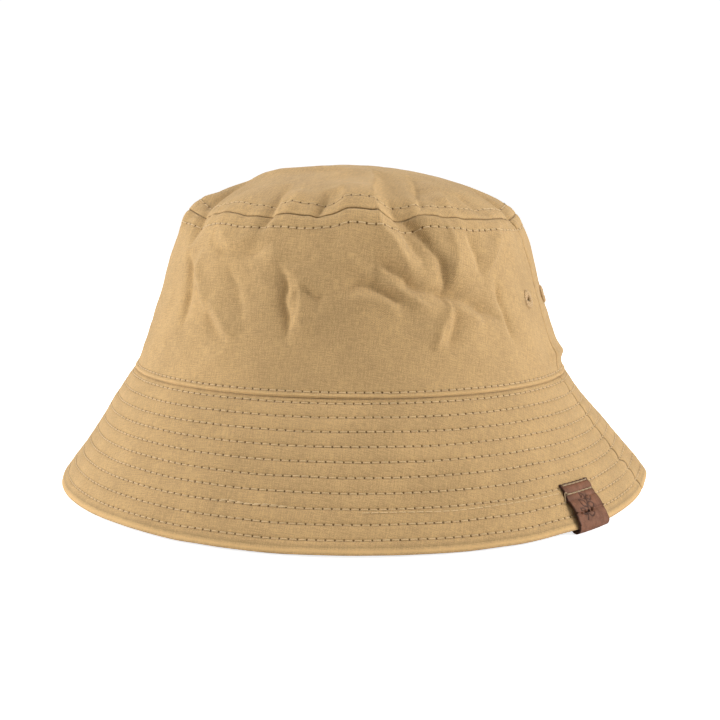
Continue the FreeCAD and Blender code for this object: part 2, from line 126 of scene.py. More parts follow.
# Each crease: height in millimetres (below zero for a valley), its width on the side that the
# path has to its left and right, then the path as (degrees, s). On a path that runs down, the
# left width is on the viewer's left.
CREASES = (
    # the long ridge that comes over the tip's edge and runs down to the right
    (4.4, 9.0, 2.6, (
        (-58, 104), (-60, 96), (-64, 74), (-63, 66), (-61, 61), (-57, 56), (-54, 50), (-52, 45),
    )),
    (-2.6, 1.8, 7.0, ((-58, 76), (-57, 68), (-54, 61), (-51, 55), (-49, 48))),
    # the deep curved crease beside it
    (-2.8, 3.6, 1.1, ((-55, 69), (-51, 64), (-47, 58), (-44, 52), (-43, 46), (-43, 41), (-45, 36))),
    (1.8, 1.8, 6.0, ((-40, 66), (-39, 58), (-40, 49), (-42, 40))),
    # the creases that fan out of the star below the ridge
    (-3.2, 1.3, 3.6, ((-65, 45), (-62, 49), (-58, 46), (-54, 43), (-50, 40), (-46, 37), (-43, 31))),
    (2.4, 3.6, 1.4, ((-64, 42), (-59, 42), (-55, 39), (-51, 35), (-46, 31))),
    (-2.6, 1.3, 3.6, ((-74, 36), (-70, 40), (-66, 41), (-62, 39), (-58, 37), (-53, 34))),
    (1.9, 3.4, 1.4, ((-72, 35), (-67, 37), (-62, 36), (-57, 33))),
    (-3.0, 1.4, 3.8, ((-48, 38), (-44, 37), (-40, 36), (-36, 34), (-31, 31), (-25, 27))),
    (2.0, 3.0, 1.4, ((-44, 33), (-38, 31), (-32, 28))),
    (2.2, 2.6, 0.9, ((-43, 37), (-44, 30), (-46, 24), (-48, 17))),
    (-1.6, 1.1, 3.0, ((-41, 32), (-43, 25), (-44, 18))),
    (-2.2, 1.3, 1.6, ((-25, 44), (-24, 38), (-23, 30), (-22, 17))),
    (2.0, 5.0, 1.4, ((-15, 66), (-20, 58), (-25, 51), (-29, 44))),
    (-1.7, 1.6, 3.4, ((-33, 62), (-31, 54), (-32, 46))),
    # folds on the viewer's left
    (-2.6, 1.2, 3.6, ((-130, 52), (-127, 46), (-124, 40), (-123, 32), (-121, 22))),
    (2.2, 2.0, 5.0, ((-122, 52), (-120, 44), (-116, 36), (-113, 28))),
    (-2.0, 4.0, 1.4, ((-120, 39), (-115, 32), (-110, 26), (-103, 18))),
    (1.5, 1.6, 4.0, ((-112, 34), (-107, 27), (-101, 20))),
    (-2.4, 2.6, 1.1, ((-91, 51), (-88, 43), (-88.5, 36), (-86, 29), (-86, 19))),
    (1.8, 1.2, 5.0, ((-87, 49), (-84, 41), (-84, 32), (-81, 22))),
    (1.6, 5.0, 1.4, ((-94, 56), (-91, 51), (-88, 49), (-84, 48))),
    (-1.8, 1.2, 3.4, ((-118, 55), (-110, 53), (-102, 52), (-95, 53))),
    (1.5, 5.0, 2.0, ((-116, 60), (-108, 58), (-99, 58))),
    (-1.2, 3.4, 1.3, ((-108, 48), (-104, 41), (-101, 34), (-99, 27))),
    (-1.7, 3.2, 1.4, ((-84, 43), (-80, 38), (-76, 35))),
    (1.2, 3.0, 3.0, ((-74, 58), (-72, 52), (-70, 46))),
    # the dent in the shoulder on the viewer's left
    (-3.6, 2.0, 6.0, ((-158, 94), (-150, 84), (-141, 75), (-133, 67), (-131, 61), (-130, 53))),
    (2.4, 6.0, 2.0, ((-152, 80), (-145, 72), (-141, 65), (-141, 58))),
    (-2.8, 4.0, 1.5, ((-103, 88), (-97, 74), (-97, 67), (-99, 60))),
    (1.7, 2.0, 4.0, ((-92, 82), (-90, 73), (-93, 65))),
    (-1.9, 1.6, 3.6, ((-80, 80), (-79, 72), (-82, 64))),
    (1.7, 1.6, 5.0, ((-75, 84), (-74, 75), (-75, 66))),
    (-2.2, 1.6, 4.5, ((-34, 100), (-40, 86), (-45, 74), (-48, 66))),
    (1.6, 4.5, 1.6, ((-26, 92), (-31, 80), (-34, 70))),
    (-1.5, 1.5, 3.0, ((-20, 82), (-21, 74), (-23, 65))),
    # the tip's crest: steep towards the front, gentle behind
    (2.2, 3.5, 12.0, (
        (-160, 90), (-146, 97), (-123, 103), (-99, 107), (-76, 105), (-58, 103), (-40, 96),
    )),
    # the bulge of the seam allowances at the foot of the left side seam
    (3.2, 3.6, 3.0, ((-4, 9), (4, 8.5), (12, 8), (20, 8), (28, 9), (36, 10))),
    # creases round the back and the far side
    (3.2, 7.0, 2.0, ((118, 96), (114, 78), (110, 66), (105, 56), (101, 46))),
    (-3.0, 4.0, 1.4, ((112, 66), (106, 56), (100, 46), (95, 36))),
    (-2.6, 1.3, 3.6, ((104, 42), (92, 38), (80, 31), (68, 28))),
    (2.2, 4.0, 1.6, ((84, 58), (78, 48), (70, 40), (60, 36))),
    (-2.8, 1.4, 4.2, ((64, 68), (58, 58), (54, 46), (54, 34))),
    (2.2, 1.6, 5.0, ((50, 66), (46, 54), (45, 42))),
    (-2.4, 1.4, 4.0, ((32, 62), (27, 50), (24, 36))),
    (-2.8, 4.2, 1.4, ((142, 62), (138, 50), (130, 38))),
    (2.2, 2.0, 5.0, ((154, 68), (150, 58), (147, 46))),
    (-2.4, 4.0, 1.4, ((170, 58), (164, 46), (161, 32))),
    (-2.4, 1.5, 4.0, ((77, 84), (71, 72), (66, 62))),
    (-2.0, 4.0, 1.6, ((10, 86), (5, 73), (-3, 62))),
    (1.9, 5.0, 1.8, ((134, 84), (129, 72), (124, 62))),
    (-2.0, 1.6, 4.0, ((146, 82), (151, 72), (153, 62))),
    (-1.8, 4.0, 1.5, ((30, 84), (34, 72), (37, 62))),
)
# how far the tip's seam stands above its pattern line: degrees and millimetres
RIM_LIFT = (
    (-180, 0.5), (-166, 1.6), (-150, 0.2), (-138, 0.8), (-126, 1.0), (-114, 2.0), (-106, 1.0),
    (-94, 2.0), (-83, 1.2), (-77, 1.6), (-70, 3.2), (-63, 1.4), (-54, 1.4), (-46, 3.2), (-37, 1.6),
    (-28, 0.4), (-15, 0.4), (0, 0.2), (20, 2.0), (42, 0.6), (62, 2.2), (84, 1.0), (106, 2.6),
    (124, 0.8), (146, 2.0), (164, 0.6), (180, 0.5),
)
# how far the brim's edge stands above its level: degrees and millimetres
EDGE_LIFT = (
    (-180, 1.2), (-165, 1.0), (-150, 0.3), (-135, 0.0), (-118, -0.4), (-100, -1.3), (-85, -1.9),
    (-70, -1.8), (-56, -1.8), (-42, -1.7), (-30, -0.7), (-18, -0.4), (-6, 0.8), (3, 2.6), (11, 4.4),
    (20, 4.0), (32, 2.0), (50, 0.2), (75, -1.2), (95, -1.5), (115, -0.8), (140, 0.6), (160, 1.4),
    (180, 1.2),
)


def round_curve(turn, table):
    """Smooth closed interpolation of (degrees, value) pairs at the given bearings."""
    degrees, values = np.array(table, float).T
    x = (np.degrees(turn) + 180) % 360 - 180
    i = np.clip(np.searchsorted(degrees, x, side="right") - 1, 0, len(degrees) - 2)
    share = (x - degrees[i]) / (degrees[i + 1] - degrees[i])
    share = fade(share, 0, 1)
    return values[i] * (1 - share) + values[i + 1] * share


def smooth_path(path, steps=4):
    """Catmull-Rom points through a short path, with the ends repeated."""
    p = np.array(path, float)
    p = np.vstack([2 * p[0] - p[1], p, 2 * p[-1] - p[-2]])
    out = []
    for i in range(1, len(p) - 2):
        for t in np.arange(steps) / steps:
            a, b, c, d = p[i - 1 : i + 3]
            out.append(
                0.5 * (2 * b + (c - a) * t + (2 * a - 5 * b + 4 * c - d) * t**2
                       + (3 * b - 3 * c + d - a) * t**3)
            )
    out.append(p[-2])
    return np.array(out)


def outward(turn, s, surface, step=0.25):
    """Unit normals of a surface given as a function of turn and s."""
    radius = np.maximum(np.linalg.norm(surface(turn, s)[:, :2], axis=1), 4.0)
    sweep = surface(turn + step / radius, s) - surface(turn - step / radius, s)
    climb = surface(turn, s + step) - surface(turn, s - step)
    normal = np.cross(sweep, climb)
    return normal / np.maximum(np.linalg.norm(normal, axis=1, keepdims=True), 1e-9)


def prepare_creases():
    """Each crease with its path as points on the plain hat, and the normals there."""
    ready = []
    for height, left, right, path in CREASES:
        degrees, s = smooth_path(path).T
        nodes = plain_point(np.radians(degrees), s)
        normals = outward(np.radians(degrees), s, plain_point)
        ready.append((height, left, right, nodes, normals))
    return ready


READY = prepare_creases()
CRUMPLE = 0.95  # how strongly the creases stand out


def crease_relief(points):
    """How far the creases push the crown's cloth outwards at plain points."""
    relief = np.zeros(len(points))
    wobble = [wave(points, 24, seed) + 0.6 * wave(points, 11, seed + 3) for seed in (21, 31, 41)]
    points = points + 0.85 * np.stack(wobble, -1)
    for height, left, right, nodes, normals in READY:
        reach = 4 * max(left, right)
        near = np.all(points > nodes.min(0) - reach, 1) & np.all(points < nodes.max(0) + reach, 1)
        if not near.any():
            continue
        p = points[near]
        best = np.full(len(p), 1e9)
        share = np.zeros(len(p))
        side = np.zeros(len(p))
        count = len(nodes) - 1
        for i in range(count):
            a, ab = nodes[i], nodes[i + 1] - nodes[i]
            t = np.clip((p - a) @ ab / (ab @ ab), 0, 1)
            gap = p - a - t[:, None] * ab
            distance = np.linalg.norm(gap, axis=1)
            closer = distance < best
            best[closer] = distance[closer]
            share[closer] = (i + t[closer]) / count
            side[closer] = gap[closer] @ np.cross(normals[i], ab)
        width = np.where(side > 0, right, left)
        taper = np.clip(1.25 * np.sin(np.pi * share) ** 0.8, 0, 1)
        flank = np.exp(0.2 - np.sqrt((best / width) ** 2 + 0.04))
        relief[near] += CRUMPLE * height * taper * flank * fade(reach - best, 0, reach / 3)
    return relief


def fade(x, start, end):
    """Rises smoothly from 0 at start to 1 at end."""
    share = np.clip((x - start) / (end - start), 0, 1)
    return share * share * (3 - 2 * share)


def bell(x, centre, width):
    """A smooth hump, 1 high at its centre."""
    return np.exp(-(((x - centre) / width) ** 2))


def pucker(turn, s):
    """Small gathers where a topstitched seam shortens the cloth."""
    ripple = np.sin(turn * 41 + 1.5 * np.sin(turn * 5)) * np.sin(turn * 17 + 0.7)
    return 0.32 * bell(s, WALL, 7.0) * ripple


def hat_face(turn, s):
    """The outer face of the hat as worn in: creased crown, slightly wavy brim."""
    plain = plain_point(turn, s)
    crown = fade(s, 1.0, 12.0)
    normal = outward(turn, s, plain_point)
    relief = np.zeros(len(plain))
    on_crown = s > 0.5
    if on_crown.any():
        p = plain[on_crown]
        lumps = 0.45 * wave(p, 42, 3) + 0.14 * wave(p, 17, 5)
        lumps += 0.30 * np.abs(wave(p, 30, 8)) - 0.22 * np.abs(wave(p, 18, 9))
        inner = crown[on_crown]
        relief[on_crown] = inner * (crease_relief(p) + lumps + pucker(turn[on_crown], s[on_crown]))
    on_brim = s < 0
    if on_brim.any():
        p = plain[on_brim]
        quilt = np.zeros(len(p))
        for row in stitch_rows():
            quilt += bell(s[on_brim], -row, 0.85)
        swell = fade(-s[on_brim], 2, 14)
        swell *= 0.3 * wave(p, 34, 11) + 0.1 * wave(p, 13, 12)
        relief[on_brim] = 0.22 - 0.34 * quilt + swell
    crown_share = fade(s, -44, -4)
    relief += FULLNESS * crown_share
    face = plain + normal * relief[:, None]
    face[:, 0] += CROWN_SHIFT[0] * crown_share
    face[:, 1] += CROWN_SHIFT[1] * crown_share
    rim = bell(s, WALL, np.where(s < WALL, 20, 17))
    face[:, 2] += round_curve(turn, RIM_LIFT) * rim * (s > 0)
    lift = round_curve(turn, EDGE_LIFT) * fade(-s, 6, SLANT + 4)
    face[:, 2] += np.where(lift > 0, 0.75, 1.0) * lift
    face += normal * (0.55 * np.maximum(lift, 0))[:, None]
    return face


def hat_point(turn, s, depth=0.0):
    """Points on the worn hat, depth millimetres inwards from its outer face."""
    turn, s, depth = (np.asarray(a, float).ravel() for a in np.broadcast_arrays(turn, s, depth))
    face = hat_face(turn, s)
    if np.any(depth):
        face = face - outward(turn, s, hat_face) * depth[:, None]
    return face


def stitch_rows():
    """How far below the crown's seam each row of brim stitching lies."""
    sizes = bpy.context.scene.hat_sizes
    return [(sizes.first_row + i * sizes.row_pitch) * 1000 for i in range(sizes.brim_rows)]


def girth(s):
    """Length round the plain hat at s, by Ramanujan's ellipse."""
    down = max(-s, 0) / SLANT
    up = min(max(s / WALL, 0), 1)
    keep = min(max(1 - (s - WALL) / TIP, 0), 1)
    run = FLARE * down - LEAN * lean_share(up)
    a, b = (HALF_WIDTH + run) * keep, (HALF_DEPTH + run) * keep
    h = ((a - b) / (a + b)) ** 2
    return math.pi * (a + b) * (1 + 3 * h / (10 + math.sqrt(4 - 3 * h)))


def stitch_count(s):
    return round(girth(s) / (bpy.context.scene.hat_sizes.stitch_length * 1000))


# ---------------------------------------------------------------- meshes
def keep_mesh(bm, name):
    """Turns a bmesh in millimetres into an object in metres at the origin."""
    bmesh.ops.scale(bm, vec=(0.001, 0.001, 0.001), verts=bm.verts)
    mesh = bpy.data.meshes.new(name)
    bm.to_mesh(mesh)
    bm.free()
    for polygon in mesh.polygons:
        polygon.use_smooth = True
    piece = bpy.data.objects.new(name, mesh)
    bpy.context.scene.collection.objects.link(piece)
    return piece


def grid(columns, rows):
    """A flat grid bmesh whose vertices carry their column and row as x and y."""
    bm = bmesh.new()
    bmesh.ops.create_grid(bm, x_segments=columns - 1, y_segments=rows - 1, size=1.0)
    if len(bm.verts) != columns * rows:
        raise RuntimeError(f"the grid has {len(bm.verts)} vertices, not {columns * rows}")
    for v in bm.verts:
        v.co.x = round((v.co.x + 1) / 2 * (columns - 1))
        v.co.y = round((v.co.y + 1) / 2 * (rows - 1))
    return bm


def place(bm, points):
    """Moves a grid's vertices to their points."""
    for v, p in zip(bm.verts, points):
        v.co = p


def indices(bm):
    """Column and row of each vertex of a fresh grid."""
    places = np.array([v.co[:2] for v in bm.verts])
    return places[:, 0].astype(int), places[:, 1].astype(int)


def vertex_values(bm, name, values):
    """Stores one number for each vertex, for the materials to read."""
    layer = bm.verts.layers.float.new(name)
    for v, value in zip(bm.verts, values):
        v[layer] = float(value)


def vertex_map(bm, name, u, v):
    """Stores a UV map that is the same on every face round a vertex."""
    layer = bm.loops.layers.uv.new(name)
    bm.verts.index_update()
    for face in bm.faces:
        for loop in face.loops:
            i = loop.vert.index
            loop[layer].uv = (u[i], v[i])


def finish_piece(piece, material, body="hat", nodes=()):
    """Gives a piece its material and body, and hides the frame's nodes that it replaces."""
    piece.data.materials.clear()
    piece.data.materials.append(material)
    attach(piece, body)
    if nodes:
        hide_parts(*nodes)
    return piece


def thicken(piece, thickness):
    """Gives a cloth face its thickness on the side away from its normals."""
    modifier = piece.modifiers.new("cloth thickness", "SOLIDIFY")
    modifier.thickness = thickness
    modifier.offset = -1
    modifier.use_quality_normals = True
    return piece


def turns_between(start, end, spacing, radius):
    """Bearings from start to end, closer together beside the two side seams."""
    length = abs(end - start) * radius
    inner = np.linspace(0, length, max(int(length / spacing), 2) + 1)
    close = np.array([0.22, 0.45, 0.75, 1.2, 1.8])
    inner = inner[(inner > 2.3) & (inner < length - 2.3)]
    inner = np.concatenate([[0], close, inner, length - close[::-1], [length]])
    return start + (end - start) * inner / length


def seam_wander(turn, s):
    """Turn that a side seam strays by: small steps at each row, one fold near the edge."""
    rows = np.sin(2 * math.pi * s / 5.6) + 0.7 * np.sin(s / 3.1)
    fold = 3.4 * fade(-s, 41.5, 44.5) - 1.6 * fade(-s, 47, 58)
    radius = SEAM_RADIUS + FLARE * np.maximum(-s, 0) / SLANT
    away = np.abs(np.sin(turn)) * radius
    stray = np.where(s < 0, 0.33 * rows + fold * (np.cos(turn) > 0), 0.2 * np.sin(s / 6.0))
    return stray / radius * bell(away, 0, 7.0)


def seam_depth(away):
    """The groove of the side seams, and the swell of the allowances beside it."""
    return 0.95 * bell(away, 0, 0.38) - 0.28 * bell(away, 3.4, 2.6)


def seam_painted_light(away, s):
    """Painted shade in the side seams, deeper on the brim, between rubbed lips with a painted
    highlight.
    """
    return 0.35 * bell(away, 1.1, 0.5) - np.where(s < 0, 1.7, 0.9) * bell(away, 0, 0.45)


def flat_pattern(turn, s, middle):
    """Where a panel's points lay on the flat cloth, in metres."""
    on_brim = s < 0
    rate = np.where(on_brim, FLARE / SLANT, LEAN / WALL)
    mean = (HALF_WIDTH + HALF_DEPTH) / 2
    reach = mean / rate - s
    angle = (turn - middle) * rate
    return np.stack([reach * np.sin(angle), mean / rate - reach * np.cos(angle)], -1) / 1000


FAR_AWAY = 1e4  # s of the nearest row, in millimetres, on a piece that has none


def add_maps(bm, column, row, turns, path, middle, rows_at, plan=False):
    """The cloth map, in metres of flat cloth, and the map of stitches along the seams.

    The stitch map's u counts stitches, its v is the distance from the nearest row in millimetres.
    """
    cloth = bm.loops.layers.uv.new("cloth")
    stitch = bm.loops.layers.uv.new("stitch")
    turn, s = turns[column], path[row]
    if plan:
        flat = plain_point(turn, s)[:, :2] / 1000
    else:
        flat = flat_pattern(turn, s, middle)
    bm.verts.index_update()
    counts = [stitch_count(r) for r in rows_at] or [1]
    rows_at = np.array(rows_at or [FAR_AWAY], float)
    for face in bm.faces:
        ids = [v.index for v in face.verts]
        centre = sum(s[i] for i in ids) / len(ids)
        nearest = int(np.argmin(np.abs(rows_at - centre)))
        for loop in face.loops:
            i = loop.vert.index
            loop[cloth].uv = flat[i]
            loop[stitch].uv = (
                turn[i] / (2 * math.pi) * counts[nearest], s[i] - rows_at[nearest]
            )


def panel(turns, path, depth, middle, rows_at=(), seams=True, plan=False, worn=None):
    """A cloth panel over the given bearings and a path of s values, ordered for its normals.

    depth is a list as long as path. rows_at holds the s of each stitched row on the panel. worn
    is rubbing and painted light at each path point: below zero painted shade, above it highlight.
    """
    turns, path, depth = np.asarray(turns), np.asarray(path, float), np.asarray(depth, float)
    bm = grid(len(turns), len(path))
    column, row = indices(bm)
    turn, s = turns[column], path[row]
    inward = depth[row]
    wear_and_painted_light = np.zeros(len(row)) if worn is None else np.asarray(worn, float)[row]
    if seams:
        away = np.abs(np.sin(turn)) * SEAM_RADIUS
        inward = inward + seam_depth(away)
        # painted shade in the seam groove, rubbing and a painted highlight on its lips
        wear_and_painted_light = wear_and_painted_light + seam_painted_light(away, s)
        turn = turn + seam_wander(turn, s)
    # stores rubbing, painted highlights and painted shade for the twill's colour
    vertex_values(bm, "wear_and_painted_light", wear_and_painted_light)
    place(bm, hat_point(turn, s, inward))
    add_maps(bm, column, row, turns, path, middle, rows_at, plan)
    return bm


def cloth_panel(name, cut, thickness, material, slot, node, closed=False, **more):
    """A finished cloth piece from its cut: turns, path, depth and middle."""
    bm = panel(*cut, **more)
    if closed:
        bmesh.ops.remove_doubles(bm, verts=bm.verts, dist=0.01)
    piece = keep_mesh(bm, name)
    finish_piece(piece, material, nodes=(node,))
    return thicken(piece, thickness)


# ---------------------------------------------------------------- materials
MADE = {}


class Finish:
    """A material under construction: a principled shader and the nodes that feed it."""

    def __init__(self, name):
        self.material = bpy.data.materials.new(name)
        self.material.use_nodes = True
        self.tree = self.material.node_tree
        self.shader = self.tree.nodes["Principled BSDF"]

    def node(self, kind, settings=None, **inputs):
        node = self.tree.nodes.new(kind)
        for key, value in (settings or {}).items():
            setattr(node, key, value)
        for key, value in inputs.items():
            numbered = key[0] == "i" and key[1:].isdigit()
            self.feed(node.inputs[int(key[1:]) if numbered else key], value)
        return node

    def feed(self, socket, value):
        if isinstance(value, bpy.types.NodeSocket):
            self.tree.links.new(value, socket)
        else:
            socket.default_value = value

    def math(self, operation, a, b=0.0, c=0.0):
        return self.node("ShaderNodeMath", {"operation": operation}, i0=a, i1=b, i2=c).outputs[0]

    def times(self, a, b):
        return self.math("MULTIPLY", a, b)

    def plus(self, a, b):
        return self.math("ADD", a, b)

    def minus(self, a, b):
        return self.math("SUBTRACT", a, b)

    def stripes(self, value, pitch):
        """Swings between -1 and 1, once for each pitch of the value."""
        return self.math("SINE", self.times(value, 2 * math.pi / pitch))

    def stretch(self, vector, factors):
        settings = {"operation": "MULTIPLY"}
        return self.node("ShaderNodeVectorMath", settings, i0=vector, i1=factors).outputs[0]

    def attribute(self, name):
        return self.node("ShaderNodeAttribute", {"attribute_name": name}).outputs["Fac"]

    def place(self):
        return self.node("ShaderNodeTexCoord").outputs["Object"]

    def mix(self, share, a, b):
        settings = {"data_type": "RGBA"}
        return self.node("ShaderNodeMix", settings, i0=share, i6=a, i7=b).outputs[2]

    def noise(self, vector, scale, detail=2.0, rough=0.5):
        settings = {"noise_dimensions": "3D"}
        node = self.node("ShaderNodeTexNoise", settings, Vector=vector)
        node.inputs["Scale"].default_value = scale
        node.inputs["Detail"].default_value = detail
        node.inputs["Roughness"].default_value = rough
        return node.outputs[0]

    def ramp(self, value, low, high, to_low=0.0, to_high=1.0):
        node = self.node("ShaderNodeMapRange", {"interpolation_type": "SMOOTHSTEP"})
        self.feed(node.inputs[0], value)
        for i, number in enumerate((low, high, to_low, to_high), start=1):
            node.inputs[i].default_value = number
        return node.outputs[0]

    def bump(self, height, distance, normal=None, strength=1.0):
        node = self.node("ShaderNodeBump", None, Height=height)
        node.inputs["Strength"].default_value = strength
        node.inputs["Distance"].default_value = distance
        if normal is not None:
            self.feed(node.inputs["Normal"], normal)
        return node.outputs[0]

    def map(self, name):
        return self.node("ShaderNodeUVMap", {"uv_map": name}).outputs[0]

    def split(self, vector):
        return self.node("ShaderNodeSeparateXYZ", None, Vector=vector).outputs


RIB_PITCH = 0.62  # millimetres, as are the next two
THREAD_PITCH = 0.31
PLY_PITCH = 0.5
# painted shade inside the needle holes
NEEDLE_HOLE_SHADE = (0.11, 0.05, 0.012)


def mm(value):
    return value * 1000


def rgba(colour, gain=1.0):
    return (*(min(c * gain, 1.0) for c in colour), 1.0)


def twill(name, colour, sheen=0.18):
    """Cotton twill: fine diagonal rib, slubs both ways, needle holes along the stitch map painted
    dark as their shade, and rubbing, painted highlight and painted shade from the attribute.
    """
    f = Finish(name)
    flat = f.stretch(f.map("cloth"), (1000, 1000, 1000))
    u, v, _ = f.split(flat)
    warp = f.noise(f.stretch(flat, (2.3, 0.22, 1)), 1.0, 3.0, 0.65)
    weft = f.noise(f.stretch(flat, (0.25, 2.3, 1)), 1.0, 3.0, 0.65)
    cloud = f.noise(f.stretch(flat, (0.05, 0.05, 1)), 1.0, 2.0)
    grain = f.noise(flat, 2.6, 2.0, 0.7)
    rib = f.stripes(f.plus(u, v), RIB_PITCH)
    streak = f.times(f.plus(warp, weft), 0.5)
    streak = f.plus(streak, f.times(f.minus(grain, 0.5), 0.7))
    streak = f.plus(streak, f.times(f.minus(cloud, 0.5), 0.25))
    streak = f.plus(streak, f.times(rib, 0.03))
    tone = f.mix(f.ramp(streak, 0.30, 0.70), rgba(colour, 0.74), rgba(colour, 1.22))
    wear_and_painted_light = f.attribute("wear_and_painted_light")
    # above zero: rubbing and a painted highlight along folds and edges, a lighter cloth colour
    rub_and_highlight = f.times(f.math("MAXIMUM", wear_and_painted_light, 0.0), 0.4)
    tone = f.mix(rub_and_highlight, tone, rgba(colour, 1.5))
    # below zero: painted shade in seams, under folds and beside the brim's edge, a darker cloth
    # colour
    painted_shade = f.times(f.math("MAXIMUM", f.times(wear_and_painted_light, -1.0), 0.0), 0.7)
    tone = f.mix(painted_shade, tone, rgba(colour, 0.18))
    weave = f.plus(rib, f.times(f.stripes(u, THREAD_PITCH), 0.5))
    weave = f.plus(weave, f.times(f.plus(warp, weft), 2.5))
    normal = f.bump(weave, 0.00005, strength=0.7)

    count, away, _ = f.split(f.map("stitch"))
    stitch = mm(bpy.context.scene.hat_sizes.stitch_length)
    along = f.times(f.minus(f.math("FRACT", count), 0.5), stitch)
    squares = f.plus(f.math("POWER", along, 2.0), f.math("POWER", away, 2.0))
    hole = f.ramp(f.math("SQRT", squares), 0.25, 0.56, 1.0, 0.0)
    # painted shade along each row of stitching, in the groove that the row sinks
    line = f.ramp(f.math("ABSOLUTE", away), 0.1, 1.1, 0.05, 0.0)
    tone = f.mix(line, tone, rgba(colour, 0.35))
    # the needle holes are painted dark as the shade inside them
    tone = f.mix(f.times(hole, 0.85), tone, rgba(NEEDLE_HOLE_SHADE))
    normal = f.bump(f.times(hole, -1.0), 0.0004, normal, 0.8)
    f.feed(f.shader.inputs["Base Color"], tone)
    f.feed(f.shader.inputs["Normal"], normal)
    f.shader.inputs["Roughness"].default_value = 0.88
    f.shader.inputs["Specular IOR Level"].default_value = 0.25
    f.shader.inputs["Sheen Weight"].default_value = sheen
    f.shader.inputs["Sheen Roughness"].default_value = 0.45
    f.shader.inputs["Sheen Tint"].default_value = (1.0, 0.93, 0.8, 1.0)
    return f.material


def spun_thread(name, colour):
    """Sewing thread: two plies twisted together, with a faint shine."""
    f = Finish(name)
    u, v, _ = f.split(f.map("thread"))
    lay = f.plus(f.times(u, 2 * math.pi / PLY_PITCH), f.times(v, 4 * math.pi))
    twist = f.math("SINE", lay)
    tone = f.mix(f.ramp(twist, -1.0, 0.6), rgba(colour, 0.62), rgba(colour, 1.08))
    fuzz = f.noise(f.place(), 2500.0, 2.0)
    tone = f.mix(f.times(fuzz, 0.25), tone, rgba(colour, 0.7))
    f.feed(f.shader.inputs["Base Color"], tone)
    f.feed(f.shader.inputs["Normal"], f.bump(twist, 0.00006, strength=0.8))
    f.shader.inputs["Roughness"].default_value = 0.6
    f.shader.inputs["Sheen Weight"].default_value = 0.25
    return f.material


def material_for(name, make, *args, **more):
    """The named material, made the first time that it is asked for."""
    if name not in MADE:
        MADE[name] = make(name, *args, **more)
    return MADE[name]


def colours():
    return bpy.context.scene.hat_colours


def body_twill():
    return material_for("khaki_twill", twill, colours().cloth)


def seam_thread():
    return material_for("seam_thread", spun_thread, colours().thread)


# ---------------------------------------------------------------- settings
def length(name, description, default):
    return bpy.props.FloatProperty(
        name=name, description=description, default=default, min=0.0, unit="LENGTH", precision=5
    )


def colour(name, description, default):
    return bpy.props.FloatVectorProperty(
        name=name, description=description, default=default, size=3, min=0.0, max=1.0,
        subtype="COLOR",
    )


class HatSizes(bpy.types.PropertyGroup):
    """Sizes of the sewing that a maker might change"""

    cloth: length("Cloth", "Thickness of one ply of twill", 0.0006)
    stack: length("Brim", "Thickness of the quilted brim", 0.002)
    stitch_length: length("Stitch", "Length of one lockstitch", 0.0033)
    thread_radius: length("Thread", "Radius of the sewing thread", 0.0002)
    first_row: length("First row", "From the crown's seam to the first row on the brim", 0.0023)
    row_pitch: length("Row pitch", "Between rows of brim stitching", 0.00556)
    brim_rows: bpy.props.IntProperty(
        name="Rows", description="Rows of stitching on the brim", default=10, min=1
    )
    base_row: length("Base row", "Above the crown's folded lower edge", 0.0021)
    tip_row: length("Tip rows", "Each side of the tip's seam", 0.0046)
    fold_radius: length("Fold", "Radius of the crown's folded lower edge", 0.00065)


class HatColours(bpy.types.PropertyGroup):
    """Linear colours of the hat's cloth, thread and leather"""

    cloth: colour("Twill", "Khaki cotton twill", (0.49, 0.315, 0.138))
    thread: colour("Thread", "Sewing thread", (0.78, 0.55, 0.27))
    lining: colour("Tape", "Seam tapes inside the crown", (0.46, 0.30, 0.14))
    leather: colour("Leather", "Brown leather of the tag", (0.165, 0.068, 0.036))
    woven: colour("Woven label", "Label inside the back", (0.10, 0.062, 0.042))
    satin: colour("Care label", "White satin care label", (0.80, 0.78, 0.74))
    felt: colour("Interlining", "Felt inside the brim", (0.7, 0.66, 0.56))


# ---------------------------------------------------------------- crown and brim
def arc_path(s_from, depth_from, radius, angle, steps, direction=1):
    """Path points round a fold: leaves the outer face at s_from and turns under it."""
    phi = np.radians(np.linspace(0, angle, steps + 1))[1:]
    return s_from + direction * radius * np.sin(phi), depth_from + radius * (1 - np.cos(phi))


SEAM_SLIT = 0.03  # from the tip's seam to each of the two folds that meet there


def halves():
    """The front and the back half of the hat: name, first and last bearing, middle."""
    return (("front", -math.pi, 0.0, -math.pi / 2), ("back", 0.0, math.pi, math.pi / 2))


